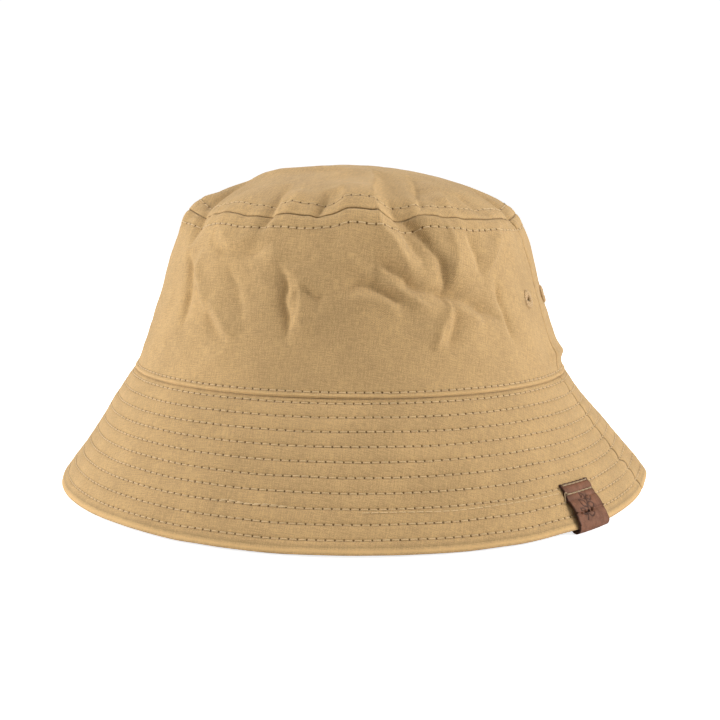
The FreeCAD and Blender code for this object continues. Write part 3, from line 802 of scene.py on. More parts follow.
def build_wall():
    sizes = bpy.context.scene.hat_sizes
    base, tip = mm(sizes.base_row), WALL - mm(sizes.tip_row)
    rows = np.concatenate([
        np.arange(0.6, 3.6, 0.3), np.arange(4.2, WALL - 2.4, 0.9),
        np.arange(WALL - 2.1, WALL - 0.5, 0.4),
    ])
    ridge = 0.16 * bell(rows, base, 0.5) - 0.5 * bell(rows, 0.6, 1.0)
    ridge += 0.14 * bell(rows, tip, 0.9) - 0.22 * bell(rows, WALL - 2.4, 1.6)
    radius = mm(sizes.fold_radius)
    under_s, under_depth = arc_path(0.6, -0.5, radius, 170, 8, direction=-1)
    top_s, top_depth = arc_path(rows[-1], ridge[-1], WALL - SEAM_SLIT - rows[-1], 90, 4)
    path = np.concatenate([under_s[::-1], rows, top_s])
    depth = np.concatenate([under_depth[::-1], ridge, top_depth])
    # rubbing and a painted highlight along the crown's folded lower edge, painted shade in the
    # tip's seam and under the fold
    worn = 1.2 * bell(path, 0.45, 0.6) - 0.3 * bell(path, WALL, 0.2)
    worn[: len(under_s) // 2] = -0.1
    for half, start, end, middle in halves():
        turns = turns_between(start, end, 0.95, WALL_RADIUS)
        bm = panel(turns, path, depth, middle, rows_at=(base, tip), worn=worn)
        open_eyelets(bm)
        piece = keep_mesh(bm, f"crown_wall_{half}")
        finish_piece(piece, body_twill(), nodes=(f"crown_side_{half}",))
        thicken(piece, sizes.cloth)


EYELET_HOLE = 2.2  # radius cut in the cloth under the embroidery
EYELET_FRAME = 4.0  # radius of an eyelet in the frame


def eyelet_centres():
    """Bearing and s of each eyelet, from the frame's pairs."""
    places = []
    for node in ("eyelets_left", "eyelets_right"):
        low, high = millimetres(node)
        height = (low[2] + high[2]) / 2 - SEAM_Z
        s = height / RISE * WALL
        reach = (high[1] - low[1]) / 2 - EYELET_FRAME
        spread = reach / (HALF_DEPTH - LEAN * lean_share(height / RISE))
        side = LEFT if high[0] > 0 else RIGHT
        for sign in (-1, 1):
            places.append((node, side + sign * math.asin(spread), s))
    return places


def open_eyelets(bm):
    """Cuts the wall's cloth away inside each eyelet."""
    for _, turn, s in eyelet_centres():
        centre = Vector(hat_point(turn, s)[0])
        gone = [f for f in bm.faces if (f.calc_center_median() - centre).length < EYELET_HOLE]
        bmesh.ops.delete(bm, geom=gone, context="FACES")


def build_tip():
    sizes = bpy.context.scene.hat_sizes
    row = WALL + mm(sizes.tip_row)
    rows = np.concatenate([
        np.arange(WALL + 0.45, WALL + 2.2, 0.4), np.arange(WALL + 2.6, WALL + TIP - 0.5, 1.05),
        [WALL + TIP],
    ])
    depth = 0.14 * bell(rows, row, 0.9) - 0.22 * bell(rows, WALL + 2.4, 1.6)
    radius = rows[0] - WALL - SEAM_SLIT
    fold_s, fold_depth = arc_path(rows[0], depth[0], radius, 90, 4, direction=-1)
    path = np.concatenate([fold_s[::-1], rows])
    depth = np.concatenate([fold_depth[::-1], depth])
    turns = np.linspace(-math.pi, math.pi, 401)
    # rubbing and a painted highlight on the tip's folded edge, painted shade in its seam
    worn = 0.4 * bell(path, WALL + 0.9, 0.4) - 0.3 * bell(path, WALL, 0.2)
    cloth_panel(
        "crown_tip_cloth", (turns, path, depth, 0.0), sizes.cloth, body_twill(), "twill",
        "crown_tip", closed=True, rows_at=(row,), seams=False, plan=True, worn=worn,
    )


def brim_rows_path(start, end):
    """s values down the brim, closer together beside each row of stitching."""
    marks = {round(float(x), 3) for x in np.arange(start, end, 1.3)}
    for row in stitch_rows():
        marks = {m for m in marks if abs(m - row) > 1.35}
        marks |= {round(row + d, 3) for d in (-1.2, -0.7, -0.35, 0.0, 0.35, 0.7, 1.2)}
    return np.array(sorted(m for m in marks if start <= m <= end))


FELT_THICK = 0.0005  # metres, as are the next three, which Solidify takes
BAND_THICK = 0.0005
TAPE_THICK = 0.0004
LABEL_THICK = 0.0003


def build_brim():
    sizes = bpy.context.scene.hat_sizes
    stack, ply = mm(sizes.stack), mm(sizes.cloth)
    flat_end = SLANT - stack / 2
    rows = brim_rows_path(0.4, flat_end)
    # the top cloth runs on under the crown's fold
    tuck = np.array([2.2, 1.2, 0.4])
    tuck_depth = np.array([1.6, 1.3, 0.9])
    roll_s, roll_depth = arc_path(-flat_end, 0.0, stack / 2, 84, 5, direction=-1)
    hem_s, hem_depth = arc_path(-flat_end, 0.0, stack / 2, 180, 10, direction=-1)
    top = np.concatenate([roll_s[::-1], -rows[::-1], tuck[::-1]])
    dip = 0.5 * bell(rows, 0.4, 0.9)
    top_depth = np.concatenate([roll_depth[::-1], dip[::-1], tuck_depth[::-1]])
    # painted highlight just above the brim's rolled edge, a line of painted shade above it, and
    # painted shade under the crown's fold
    worn = (
        1.7 * bell(top, -flat_end - 0.1, 0.6) - 0.4 * bell(top, -flat_end + 1.6, 0.5)
        - 0.15 * bell(top, -0.2, 0.7)
    )
    # the under cloth meets the top cloth at the edge, along the middle of the roll
    under = np.concatenate([[1.5], -rows, hem_s[5:][::-1]])
    under_depth = np.concatenate([np.full(len(rows) + 1, stack), hem_depth[5:][::-1]])
    core = -np.arange(1.0, SLANT - 5.5, 2.0)[::-1]
    core_depth = np.full(len(core), ply + 0.15)
    felt = material_for("brim_felt", felt_sheet, colours().felt)
    rows_at = [-r for r in stitch_rows()]
    for half, start, end, middle in halves():
        turns = turns_between(start, end, 1.15, BRIM_RADIUS)
        cloth_panel(
            f"brim_top_{half}", (turns, top, top_depth, middle), sizes.cloth, body_twill(),
            "twill", f"brim_upper_{half}", rows_at=rows_at, worn=worn,
        )
        cloth_panel(
            f"brim_underside_{half}", (turns, under, under_depth, middle), sizes.cloth,
            body_twill(), "twill", f"brim_under_{half}", rows_at=rows_at,
        )
        cloth_panel(
            f"brim_felt_{half}", (turns[::3], core, core_depth, middle), FELT_THICK, felt,
            "interlining", f"brim_interlining_{half}", seams=False,
        )


def felt_sheet(name, colour):
    """Pressed felt: short fibres in every direction."""
    f = Finish(name)
    fibre = f.noise(f.place(), 900.0, 4.0, 0.7)
    f.feed(f.shader.inputs["Base Color"], f.mix(fibre, rgba(colour, 0.8), rgba(colour, 1.1)))
    f.feed(f.shader.inputs["Normal"], f.bump(fibre, 0.0001))
    f.shader.inputs["Roughness"].default_value = 0.95
    return f.material


# ---------------------------------------------------------------- stitching
RINGS = 6  # along one stitch
SIDES = 6


def thread_line(place_at, stitches, closed, radius, sink=0.55, rise=0.15):
    """A sewn thread as a bmesh: over the cloth for each stitch, down through each needle hole.

    place_at gives points on the cloth's face and normals for counts of stitches.
    """
    rings = stitches * RINGS + 1
    counts = np.arange(rings) / RINGS
    phase = counts % 1.0
    lift = rise - (rise + sink) * bell(np.minimum(phase, 1 - phase), 0, 0.11)
    points, normals = place_at(counts)
    line = points + normals * lift[:, None]
    ahead = np.roll(line, -1, 0) - np.roll(line, 1, 0)
    if closed:
        ahead[0] = ahead[-1] = line[1] - line[-2]
    else:
        ahead[0], ahead[-1] = line[1] - line[0], line[-1] - line[-2]
    ahead /= np.maximum(np.linalg.norm(ahead, axis=1, keepdims=True), 1e-9)
    side = np.cross(ahead, normals)
    side /= np.maximum(np.linalg.norm(side, axis=1, keepdims=True), 1e-9)
    up = np.cross(side, ahead)
    bm = grid(rings, SIDES + 1)
    column, row = indices(bm)
    angle = 2 * math.pi * row / SIDES
    ring = line[column] + radius * (
        side[column] * np.cos(angle)[:, None] + up[column] * np.sin(angle)[:, None]
    )
    along = np.concatenate([[0], np.cumsum(np.linalg.norm(np.diff(line, axis=0), axis=1))])
    vertex_map(bm, "thread", along[column], row / SIDES)
    place(bm, ring)
    bmesh.ops.remove_doubles(bm, verts=bm.verts, dist=0.004)
    ends = [e for e in bm.edges if e.is_boundary]
    if ends:
        bmesh.ops.holes_fill(bm, edges=ends, sides=SIDES + 2)
    bmesh.ops.recalc_face_normals(bm, faces=bm.faces)
    return bm


def row_on_hat(s, depth=0.0, inside=False, wander=0.12):
    """Place function for a closed row of stitches round the hat at s.

    The needle holes lie at half counts, as on the stitch map.
    """
    count = stitch_count(s)

    def at(counts):
        turn = (counts + 0.5) / count * 2 * math.pi
        drift = wander * np.sin(turn * 9 + s) + 0.5 * wander * np.sin(turn * 23 + 2 * s)
        points = hat_point(turn, s + drift, depth)
        normals = outward(turn, s + drift, hat_face)
        return points, -normals if inside else normals

    return at, count


def resewn_stretch(start, end, s_from, s_to):
    """Place function for an open stretch of stitches beside a row on the brim."""
    start, end = math.radians(start), math.radians(end)
    count = round((end - start) * BRIM_RADIUS / mm(bpy.context.scene.hat_sizes.stitch_length))

    def at(counts):
        share = counts / count
        turn = start + (end - start) * share
        s = s_from + (s_to - s_from) * share + 0.15 * np.sin(share * 11)
        return hat_point(turn, s), outward(turn, s, hat_face)

    return at, count


def merge(parts):
    """Several bmeshes as one."""
    whole = bmesh.new()
    for part in parts:
        mesh = bpy.data.meshes.new("part")
        part.to_mesh(mesh)
        part.free()
        whole.from_mesh(mesh)
        bpy.data.meshes.remove(mesh)
    return whole


def sewn(name, rows, *nodes, closed=True):
    """Rows of sewing thread as one piece, in place of the frame's nodes."""
    radius = mm(bpy.context.scene.hat_sizes.thread_radius)
    parts = [thread_line(at, count, closed, radius) for at, count in rows]
    finish_piece(keep_mesh(merge(parts), name), seam_thread(), nodes=nodes)


# where the eighth row was sewn twice: first and last degree, how far beside the row at each
RESEWN = ((-95.0, -82.0, 0.5, 0.45), (-69.0, -29.0, -1.5, -1.7))


def build_stitching():
    sizes = bpy.context.scene.hat_sizes
    brim = [-r for r in stitch_rows()]
    sewn("brim_stitches", [row_on_hat(s) for s in brim], "brim_needle_threads")
    again = [resewn_stretch(a, b, brim[7] + near, brim[7] + far) for a, b, near, far in RESEWN]
    sewn("brim_stitches_again", again, closed=False)
    below = [row_on_hat(s, mm(sizes.stack), inside=True) for s in brim]
    sewn("brim_stitches_below", below, "brim_bobbin_threads")
    base = row_on_hat(mm(sizes.base_row), 0.1, wander=0.05)
    sewn("crown_base_stitches", [base], "crown_base_topstitch")
    low, high = (row_on_hat(WALL + side * mm(sizes.tip_row), 0.12) for side in (-1, 1))
    sewn("tip_stitches_below_seam", [low], "tip_topstitch_lower")
    sewn("tip_stitches_above_seam", [high], "tip_topstitch_upper")


# ---------------------------------------------------------------- inside the crown
BAND_DEPTH = 1.5  # from the wall's outer face to the sweatband's visible face
TAPE_DEPTH = 1.15


def band_path(low, high, depth, fold=0.35, step=1.2):
    """Path from high to low for a band seen from inside, with both edges turned under."""
    flat = np.arange(low + fold, high - fold, step)
    flat = np.append(flat, high - fold)[::-1]
    phi = np.radians([120, 90, 60, 30])
    top = (high - fold + fold * np.sin(phi), depth - fold * (1 - np.cos(phi)))
    bottom = (low + fold - fold * np.sin(phi[::-1]), depth - fold * (1 - np.cos(phi[::-1])))
    path = np.concatenate([top[0], flat, bottom[0]])
    return path, np.concatenate([top[1], np.full(len(flat), depth), bottom[1]])


def build_bands():
    sizes = bpy.context.scene.hat_sizes
    all_round = np.linspace(-math.pi, math.pi, 361)
    band_top = (BAND_HIGH[2] - SEAM_Z) / RISE * WALL
    band_rows = (2.5, band_top - 2.0)
    cloth_panel(
        "sweatband_cloth", (all_round, *band_path(0.3, band_top, BAND_DEPTH), 0.0), BAND_THICK,
        material_for("band_twill", twill, colours().cloth, sheen=0.15), "sweatband_twill",
        "sweatband", closed=True, rows_at=band_rows, seams=False,
    )
    rows = [row_on_hat(s, BAND_DEPTH, inside=True, wander=0.06) for s in band_rows]
    sewn("sweatband_stitches", rows, "sweatband_stitch")

    lining = material_for("lining_twill", twill, colours().lining, sheen=0.15)
    # the tape runs on past the tip's seam, so no light comes through it
    tape = band_path(WALL - 11.5, WALL + 3.0, TAPE_DEPTH)
    cloth_panel(
        "tip_tape", (all_round, *tape, 0.0), TAPE_THICK, lining, "seam_tape", "tip_seam_binding",
        closed=True, rows_at=(WALL - mm(sizes.tip_row),), seams=False,
    )
    tape = band_path(band_top - 3.0, WALL - 9.0, TAPE_DEPTH - 0.05)
    for side, middle in (("left", LEFT), ("right", RIGHT)):
        node = f"side_seam_binding_{side}"
        low, high = millimetres(node)
        reach = (high[1] - low[1]) / 2 / LINING_RADIUS
        turns = np.linspace(middle - reach, middle + reach, 15)
        cloth_panel(
            f"side_tape_{side}", (turns, *tape, middle), TAPE_THICK, lining, "seam_tape", node,
            seams=False,
        )


LABEL_WIDE, LABEL_TALL = 44.0, 18.0  # of the woven label's own map
BORDER_COLOUR = (0.5, 0.38, 0.22)


def woven_label(name, colour):
    """A plain woven label: close horizontal weave with a paler woven border."""
    f = Finish(name)
    u, v, _ = f.split(f.stretch(f.map("cloth"), (1000, 1000, 1000)))
    weave = f.times(f.stripes(u, 0.3), f.stripes(v, 0.22))
    x, y, _ = f.split(f.map("label"))
    beside = f.math("MINIMUM", x, f.minus(LABEL_WIDE, x))
    inset = f.math("MINIMUM", beside, f.math("MINIMUM", y, f.minus(LABEL_TALL, y)))
    border = f.times(f.ramp(inset, 1.7, 1.9), f.ramp(inset, 2.4, 2.6, 1.0, 0.0))
    tone = f.mix(f.ramp(weave, -1.0, 1.0), rgba(colour, 0.8), rgba(colour, 1.3))
    f.feed(f.shader.inputs["Base Color"], f.mix(border, tone, rgba(BORDER_COLOUR)))
    f.feed(f.shader.inputs["Normal"], f.bump(weave, 0.00004))
    f.shader.inputs["Roughness"].default_value = 0.6
    f.shader.inputs["Sheen Weight"].default_value = 0.3
    return f.material


def satin_sheet(name, colour):
    """Thin satin ribbon with a soft gloss."""
    f = Finish(name)
    fine = f.noise(f.stretch(f.place(), (3000, 3000, 200)), 1.0, 2.0)
    f.feed(f.shader.inputs["Base Color"], f.mix(fine, rgba(colour, 0.92), rgba(colour, 1.04)))
    f.feed(f.shader.inputs["Normal"], f.bump(fine, 0.00003))
    f.shader.inputs["Roughness"].default_value = 0.42
    f.shader.inputs["Anisotropic"].default_value = 0.5
    return f.material


def build_woven_label():
    width = (LABEL_HIGH[0] - LABEL_LOW[0]) / 2
    s_low, s_high = ((z - SEAM_Z) / RISE * WALL for z in (LABEL_LOW[2], LABEL_HIGH[2]))
    spread = math.asin(width / (HALF_WIDTH - LEAN * 0.6))
    middle = math.pi / 2
    turns = np.linspace(middle - spread, middle + spread, 61)
    path, depth = band_path(s_low, s_high, 1.25, fold=0.2, step=0.7)
    bm = panel(turns, path, depth, middle, seams=False)
    layer = bm.loops.layers.uv.new("label")
    for face in bm.faces:
        for loop in face.loops:
            x, _, z = loop.vert.co
            share = (z - LABEL_LOW[2]) / (LABEL_HIGH[2] - LABEL_LOW[2])
            loop[layer].uv = (x + width, share * LABEL_TALL)
    piece = keep_mesh(bm, "woven_label_cloth")
    finish = material_for("label_weave", woven_label, colours().woven)
    finish_piece(piece, finish, nodes=("inner_label",))
    thicken(piece, LABEL_THICK)


def build_care_label():
    wide, long = CARE_HIGH[0] - CARE_LOW[0], CARE_HIGH[2] - CARE_LOW[2]
    columns, rows = 29, 39
    bm = grid(columns, rows)
    column, row = indices(bm)
    x = (column / (columns - 1) - 0.5) * wide
    down = (1 - row / (rows - 1)) * long
    share = down / long
    curl = 0.9 * np.sin(x / wide * math.pi) ** 2 * (0.3 + share)
    curl += 0.6 * share**2 * np.sin(down / 9)
    curl += 0.1 * down  # hangs clear of the sweatband
    y = (CARE_LOW[1] + CARE_HIGH[1]) / 2 - curl
    place(bm, np.stack([x, y, CARE_HIGH[2] - down], -1))
    piece = keep_mesh(bm, "care_label_satin")
    finish = material_for("label_satin", satin_sheet, colours().satin)
    finish_piece(piece, finish, body="care_flap", nodes=("care_label",))
    thicken(piece, LABEL_THICK)


# ---------------------------------------------------------------- eyelets
EYELET_STITCHES = 18
EYELET_RADIUS = 2.4  # to the middle of the stitched ring
EYELET_REACH, EYELET_HEIGHT = 1.2, 0.75  # half the ring's width, and its height


def eyelet_ring(turn, s):
    """One buttonhole-stitched ring as a bmesh, one lobe for each stitch."""
    centre = hat_point(turn, s)[0]
    normal = outward(np.array([turn]), np.array([s]), hat_face)[0]
    steps, sides = EYELET_STITCHES * 4, 12
    bm = grid(steps + 1, sides + 1)
    column, row = indices(bm)
    major = 2 * math.pi * column / steps
    minor = 2 * math.pi * row / sides
    ripple = 1 + 0.28 * np.cos(column / 4 * 2 * math.pi)
    reach = EYELET_RADIUS + EYELET_REACH * ripple * np.cos(minor) + 0.15 * np.sin(major * 3 + s)
    height = EYELET_HEIGHT * ripple * np.sin(minor) + 0.05
    across = Vector((-math.sin(turn), math.cos(turn), 0)).normalized()
    upward = Vector(normal).cross(across)
    vertex_map(bm, "thread", row * 0.4, column / 8)
    place(bm, (
        centre + np.outer(reach * np.cos(major), across)
        + np.outer(reach * np.sin(major), upward) + np.outer(height, normal)
    ))
    bmesh.ops.remove_doubles(bm, verts=bm.verts, dist=0.005)
    bmesh.ops.recalc_face_normals(bm, faces=bm.faces)
    return bm


def build_eyelets():
    thread = material_for("eyelet_thread", spun_thread, tuple(c * 1.2 for c in colours().cloth))
    rings = {}
    for node, turn, s in eyelet_centres():
        rings.setdefault(node, []).append(eyelet_ring(turn, s))
    for node, parts in rings.items():
        piece = keep_mesh(merge(parts), f"vent_{node}")
        finish_piece(piece, thread, nodes=(node,))


# ---------------------------------------------------------------- leather tag
TAG_SIZE = 19.5
TAG_UP = 17.4
TAG_UNDER = 14.0
TAG_THICK = 0.9
TAG_GAP = 0.35  # between the brim's cloth and the leather
TAG_PROUD = TAG_GAP + TAG_THICK
TAG_STITCHES = 6
TAG_SEWN = TAG_SIZE - 1.4  # width of a row of stitches
LOOSE_STITCHES = 3
TAG_ROWS = (0.4, 4.3)  # millimetres below the tag's upper end
# a leaf sprig pressed into the leather: stem, then leaves as (start, tip, bulge), in
# millimetres across the tag and down it
STEM = ((-3.6, 14.2), (-1.6, 11.0), (0.6, 7.4), (2.6, 4.6))
LEAVES = (
    ((-2.4, 12.2), (-5.6, 9.4), 1.3), ((-2.0, 11.6), (1.9, 12.6), 1.3),
    ((-0.6, 9.4), (-3.8, 6.4), 1.2), ((-0.2, 8.7), (3.8, 9.4), 1.2),
    ((1.0, 6.8), (-1.2, 3.6), 1.1), ((1.4, 6.2), (4.9, 6.2), 1.1),
)


def stroke_distance(x, y, path):
    """How far points are from a stroke, whose steps may have no length."""
    best = np.full(len(x), 1e9)
    for (ax, ay), (bx, by) in zip(path[:-1], path[1:]):
        dx, dy = bx - ax, by - ay
        t = np.clip(((x - ax) * dx + (y - ay) * dy) / (dx * dx + dy * dy + 1e-9), 0, 1)
        best = np.minimum(best, np.hypot(x - ax - t * dx, y - ay - t * dy))
    return best


def leaf_outline(start, tip, bulge):
    """Both sides of a pointed leaf as one closed stroke."""
    a, b = np.array(start), np.array(tip)
    side = np.array([a[1] - b[1], b[0] - a[0]]) / np.linalg.norm(b - a)
    t = np.linspace(0, 1, 9)[:, None]
    bow = np.sin(t * math.pi) * bulge
    return np.vstack([a + (b - a) * t + side * bow, (a + (b - a) * t - side * bow)[::-1]])


def sprig_depth(x, y):
    distance = stroke_distance(x, y, smooth_path(STEM))
    for start, tip, bulge in LEAVES:
        distance = np.minimum(distance, stroke_distance(x, y, leaf_outline(start, tip, bulge)))
    return bell(distance, 0, 0.3)


def tag_leather(name, colour):
    """Smooth brown leather, pressed darker in the motif and at its cut edges."""
    f = Finish(name)
    place = f.place()
    cells = {"feature": "DISTANCE_TO_EDGE"}
    pebble = f.node("ShaderNodeTexVoronoi", cells, Vector=place, Scale=2100.0).outputs[0]
    cloud = f.noise(place, 260.0, 4.0, 0.65)
    fine = f.noise(place, 1500.0, 3.0, 0.6)
    tone = f.mix(f.ramp(cloud, 0.32, 0.7), rgba(colour, 0.72), rgba(colour, 1.35))
    tone = f.mix(f.times(fine, 0.2), tone, rgba((0.33, 0.15, 0.08)))
    tone = f.mix(f.times(f.attribute("press"), 0.85), tone, rgba((0.03, 0.014, 0.009)))
    tone = f.mix(f.times(f.attribute("cut_edge"), 0.8), tone, rgba((0.035, 0.016, 0.01)))
    f.feed(f.shader.inputs["Base Color"], tone)
    grain = f.plus(f.ramp(pebble, 0.0, 0.25), f.times(fine, 0.8))
    f.feed(f.shader.inputs["Normal"], f.bump(grain, 0.00006, strength=0.7))
    f.feed(f.shader.inputs["Roughness"], f.ramp(cloud, 0.2, 0.8, 0.62, 0.48))
    f.shader.inputs["Specular IOR Level"].default_value = 0.2
    return f.material


def tag_bearing():
    low, high = millimetres("brim_tag")
    middle = (low + high) / 2
    share = (middle[1] / (HALF_DEPTH + FLARE * 0.85), middle[0] / (HALF_WIDTH + FLARE * 0.85))
    return math.atan2(*share)


def tag_turn(across):
    """Bearing of points that lie across millimetres from the tag's middle."""
    return tag_bearing() + across / ((HALF_WIDTH + HALF_DEPTH) / 2 + FLARE)


def tag_path():
    """s and depth of the leather's outer face: down the brim, round the edge, back under it."""
    stack = mm(bpy.context.scene.hat_sizes.stack)
    bend = SLANT - 0.6
    radius = stack / 2 + TAG_PROUD
    upper = np.linspace(SLANT - TAG_UP, bend, 70)
    swell = 0.5 * np.sin(np.clip((upper - upper[0] - 5) / (TAG_UP - 5), 0, 1) * math.pi) ** 2
    seat = 0.35 * bell(upper - upper[0], 4.4, 1.0) + 0.3 * bell(upper, upper[0], 1.2)
    phi = np.radians(np.linspace(0, 180, 19))[1:-1]
    under = np.linspace(bend, SLANT - TAG_UNDER, 24)
    path = np.concatenate([upper, bend + radius * np.sin(phi), under])
    depth = np.concatenate([
        seat - TAG_PROUD - swell, stack / 2 - radius * np.cos(phi),
        np.full(len(under), stack + TAG_PROUD),
    ])
    return path, depth, len(upper)


def build_tag_leather():
    path, depth, upper = tag_path()
    columns = 61
    bm = grid(columns, len(path))
    column, row = indices(bm)
    flipped = len(path) - 1 - row
    across = (column / (columns - 1) - 0.5) * TAG_SIZE
    along = path[flipped]
    down = along - path[0]
    on_top = flipped < upper
    lift = 0.55 * bell(across, -TAG_SIZE / 2, 3.0) * fade(along, SLANT - TAG_UP + 4, SLANT - 6)
    press = sprig_depth(across, down - 1.2)
    for row_down in TAG_ROWS:
        for i in range(TAG_STITCHES + 1):
            hole = (i / TAG_STITCHES - 0.5) * TAG_SEWN
            press = np.maximum(press, bell(np.hypot(across - hole, down - row_down), 0, 0.36))
    press = np.where(on_top, press, 0.0)
    place(bm, hat_point(tag_turn(across), -along, depth[flipped] + 0.32 * press - lift * on_top))
    edge = np.maximum(bell(np.abs(across), TAG_SIZE / 2, 0.35), bell(down, 0, 0.3) * on_top)
    vertex_values(bm, "press", press)
    vertex_values(bm, "cut_edge", edge)
    piece = keep_mesh(bm, "leather_tag")
    finish = material_for("brown_leather", tag_leather, colours().leather)
    finish_piece(piece, finish, nodes=("brim_tag",))
    thicken(piece, TAG_THICK / 1000)
    bevel = piece.modifiers.new("worn edges", "BEVEL")
    bevel.width = 0.00015
    bevel.segments = 2
    bevel.limit_method = "ANGLE"
    bevel.angle_limit = math.radians(50)


def tag_row(s, depth, inside=False):
    """Place function for a row of stitches across the tag."""

    def at(counts):
        turn = tag_turn((counts / TAG_STITCHES - 0.5) * TAG_SEWN)
        normals = outward(turn, np.full(len(turn), s), hat_face)
        return hat_point(turn, s, depth), -normals if inside else normals

    return at


def loose_end(counts):
    """Place function for the thread's end, which curls off the tag's left edge."""
    share = counts / LOOSE_STITCHES
    across = -TAG_SIZE / 2 + 0.5 - 1.9 * np.sin(share * 2.6) - 0.6 * share
    fall = TAG_ROWS[1] - 0.4 + 2.6 * share - 0.9 * np.sin(share * 5.5)
    s = TAG_UP - SLANT - fall
    depth = -TAG_PROUD * (1 - share) - 0.3 - 0.7 * np.sin(share * 3.1)
    turn = tag_turn(across)
    return hat_point(turn, s, depth), outward(turn, s, hat_face)


def build_tag_stitches():
    """Two rows across the tag's upper end, one under the brim, and the loose end."""
    stack = mm(bpy.context.scene.hat_sizes.stack)
    over, under = (TAG_UP - SLANT - down for down in TAG_ROWS)
    rows = (
        tag_row(over, 0.22 - TAG_PROUD), tag_row(under, 0.12 - TAG_PROUD),
        tag_row(TAG_UNDER - 3.0 - SLANT, stack + TAG_PROUD, inside=True),
    )
    parts = [thread_line(at, TAG_STITCHES, False, 0.24, sink=0.8, rise=0.14) for at in rows]
    parts.append(thread_line(loose_end, LOOSE_STITCHES, False, 0.17, sink=0.0, rise=0.0))
    colour = tuple(c * 0.6 for c in colours().thread)
    thread = material_for("tan_thread", spun_thread, colour)
    piece = keep_mesh(merge(parts), "tag_stitches")
    finish_piece(piece, thread, nodes=("tag_stitching",))


# ---------------------------------------------------------------- studio
CAMERA_AZIMUTH = math.radians(18.46)
CAMERA_ELEVATION = math.radians(7.44)
CAMERA_ROLL = math.radians(0.9)
CAMERA_DISTANCE = 0.600
CAMERA_HEIGHT = 0.0488  # aim above the brim's edge
CAMERA_SIDE = 0.00174
CAMERA_LENS = 70.1
# name, place, aim, size in metres and power in watts
SOFT_BOXES = (
    ("left_softbox", (-1.19, -0.58, 0.55), (0, 0, 0.06), 0.7, 21.0),
    ("right_softbox", (1.3, 0.15, 0.60), (0, 0, 0.06), 0.7, 19.5),
    ("top_softbox", (0.0, 0.15, 1.5), (0, 0, 0.1), 0.9, 7.8),
)
FLOOR_RADIUS = 30.0
FLOOR_GLOW = 0.86  # seen by the camera alone, so the floor meets the background unseen
WORLD_LIGHT, WORLD_SEEN = 0.19, 1.05


def build_stage():
    scene = bpy.context.scene
    scene.view_settings.view_transform = "Standard"
    scene.view_settings.look = "None"
    a, e = CAMERA_AZIMUTH, CAMERA_ELEVATION
    back = Vector((math.sin(a) * math.cos(e), -math.cos(a) * math.cos(e), math.sin(e)))
    right = Vector((math.cos(a), math.sin(a), 0))
    up = back.cross(right)
    roll_right = right * math.cos(CAMERA_ROLL) + up * math.sin(CAMERA_ROLL)
    roll_up = up * math.cos(CAMERA_ROLL) - right * math.sin(CAMERA_ROLL)
    data = bpy.data.cameras.new("hat_camera")
    data.lens = CAMERA_LENS
    data.sensor_width = 36
    data.clip_start, data.clip_end = 0.01, 50
    camera = bpy.data.objects.new("hat_camera", data)
    turned = Matrix((roll_right, roll_up, back)).transposed().to_4x4()
    aim = Vector((0, 0, CAMERA_HEIGHT + BRIM_LOW[2] / 1000)) + right * CAMERA_SIDE
    camera.matrix_world = Matrix.Translation(aim + back * CAMERA_DISTANCE) @ turned
    scene.collection.objects.link(camera)
    scene.camera = camera

    bm = bmesh.new()
    bmesh.ops.create_circle(bm, cap_ends=True, segments=96, radius=FLOOR_RADIUS)
    mesh = bpy.data.meshes.new("pale_floor")
    bm.to_mesh(mesh)
    bm.free()
    floor = bpy.data.objects.new("pale_floor", mesh)
    scene.collection.objects.link(floor)
    f = Finish("pale_floor")
    dust = f.noise(f.place(), 30.0, 3.0)
    f.feed(f.shader.inputs["Base Color"], f.mix(dust, (0.93, 0.93, 0.93, 1), (0.95, 0.95, 0.95, 1)))
    f.shader.inputs["Roughness"].default_value = 0.9
    f.shader.inputs["Specular IOR Level"].default_value = 0.1
    f.shader.inputs["Emission Color"].default_value = (1, 1, 1, 1)
    seen = f.node("ShaderNodeLightPath").outputs["Is Camera Ray"]
    f.feed(f.shader.inputs["Emission Strength"], f.times(seen, FLOOR_GLOW))
    mesh.materials.append(f.material)

    world = bpy.data.worlds.new("studio")
    world.use_nodes = True
    scene.world = world
    nodes, links = world.node_tree.nodes, world.node_tree.links
    background = nodes["Background"]
    path = nodes.new("ShaderNodeLightPath")
    strength = nodes.new("ShaderNodeMapRange")
    strength.inputs["To Min"].default_value = WORLD_LIGHT
    strength.inputs["To Max"].default_value = WORLD_SEEN
    links.new(path.outputs["Is Camera Ray"], strength.inputs["Value"])
    links.new(strength.outputs[0], background.inputs["Strength"])
    background.inputs["Color"].default_value = (1, 1, 1, 1)

    for box in SOFT_BOXES:
        soft_box(*box)


def soft_box(name, place, aim, size, power):
    data = bpy.data.lights.new(name, "AREA")
    data.shape = "SQUARE"
    data.size = size
    data.energy = power
    light = bpy.data.objects.new(name, data)
    direction = Vector(aim) - Vector(place)
    light.rotation_mode = "QUATERNION"
    light.rotation_quaternion = direction.to_track_quat("-Z", "Y")
    light.location = place
    bpy.context.scene.collection.objects.link(light)


# ---------------------------------------------------------------- operators
class HAT_OT_stage(bpy.types.Operator):
    """Sets the camera, the floor and the studio lights"""

    bl_idname = "hat.stage"
    bl_label = "Studio"

    def execute(self, context):
        build_stage()
        return {"FINISHED"}


class HAT_OT_wall(bpy.types.Operator):
    """Cuts and sews the crown's front and back wall"""

    bl_idname = "hat.wall"
    bl_label = "Crown wall"

    def execute(self, context):
        build_wall()
        return {"FINISHED"}


class HAT_OT_tip(bpy.types.Operator):
    """Sews in the oval tip"""

    bl_idname = "hat.tip"
    bl_label = "Crown tip"

    def execute(self, context):
        build_tip()
        return {"FINISHED"}


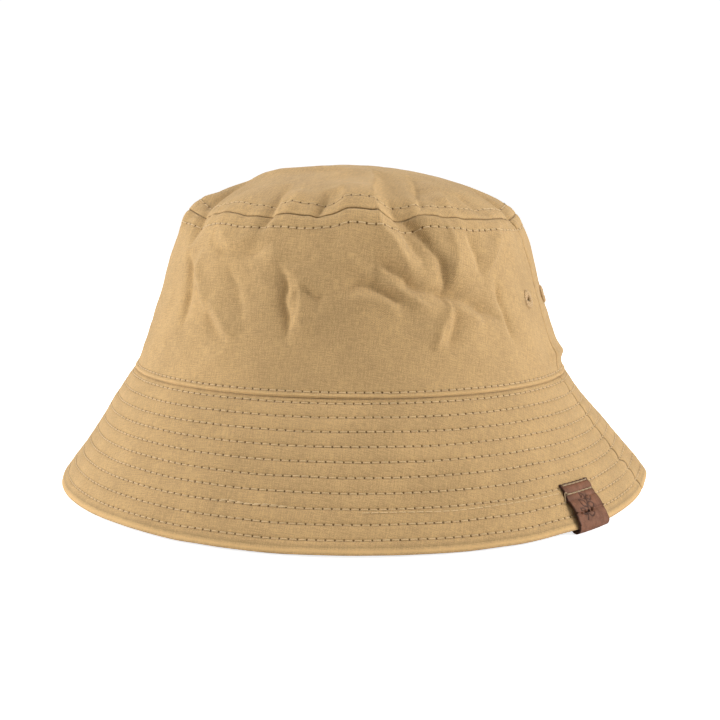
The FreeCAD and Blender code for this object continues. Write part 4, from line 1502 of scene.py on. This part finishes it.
class HAT_OT_brim(bpy.types.Operator):
    """Makes up the brim from top cloth, felt and under cloth"""

    bl_idname = "hat.brim"
    bl_label = "Brim"

    def execute(self, context):
        build_brim()
        return {"FINISHED"}


class HAT_OT_stitching(bpy.types.Operator):
    """Runs every row of stitching on the outside and under the brim"""

    bl_idname = "hat.stitching"
    bl_label = "Stitching"

    def execute(self, context):
        build_stitching()
        return {"FINISHED"}


class HAT_OT_bands(bpy.types.Operator):
    """Sews in the sweatband and the seam tapes"""

    bl_idname = "hat.bands"
    bl_label = "Sweatband and tapes"

    def execute(self, context):
        build_bands()
        return {"FINISHED"}


class HAT_OT_eyelets(bpy.types.Operator):
    """Embroiders the vent eyelets"""

    bl_idname = "hat.eyelets"
    bl_label = "Eyelets"

    def execute(self, context):
        build_eyelets()
        return {"FINISHED"}


class HAT_OT_tag(bpy.types.Operator):
    """Folds the leather tag over the brim's edge and stitches it"""

    bl_idname = "hat.tag"
    bl_label = "Leather tag"

    def execute(self, context):
        build_tag_leather()
        build_tag_stitches()
        return {"FINISHED"}


class HAT_OT_labels(bpy.types.Operator):
    """Sews the woven label and the care label inside the back"""

    bl_idname = "hat.labels"
    bl_label = "Labels"

    def execute(self, context):
        build_woven_label()
        build_care_label()
        return {"FINISHED"}


class HAT_PT_panel(bpy.types.Panel):
    """Lists the steps that make the hat"""

    bl_idname = "HAT_PT_panel"
    bl_label = "Bucket hat"
    bl_space_type = "VIEW_3D"
    bl_region_type = "UI"
    bl_category = "Hat"

    def draw(self, context):
        for group in (context.scene.hat_sizes, context.scene.hat_colours):
            box = self.layout.box()
            for name in group.bl_rna.properties.keys():
                if name not in ("rna_type", "name"):
                    box.prop(group, name)
        for operator in STEPS:
            self.layout.operator(operator.bl_idname)


STEPS = (
    HAT_OT_stage, HAT_OT_wall, HAT_OT_tip, HAT_OT_brim, HAT_OT_stitching, HAT_OT_bands,
    HAT_OT_eyelets, HAT_OT_tag, HAT_OT_labels,
)
CLASSES = (HatSizes, HatColours) + STEPS + (HAT_PT_panel,)


def register():
    for item in CLASSES:
        bpy.utils.register_class(item)
    bpy.types.Scene.hat_sizes = bpy.props.PointerProperty(type=HatSizes)
    bpy.types.Scene.hat_colours = bpy.props.PointerProperty(type=HatColours)


def unregister():
    del bpy.types.Scene.hat_colours
    del bpy.types.Scene.hat_sizes
    for item in reversed(CLASSES):
        bpy.utils.unregister_class(item)


def main():
    register()
    bpy.ops.hat.stage()
    bpy.ops.hat.wall()
    bpy.ops.hat.tip()
    bpy.ops.hat.brim()
    bpy.ops.hat.stitching()
    bpy.ops.hat.bands()
    bpy.ops.hat.eyelets()
    bpy.ops.hat.tag()
    bpy.ops.hat.labels()


if __name__ == "__main__":
    main()
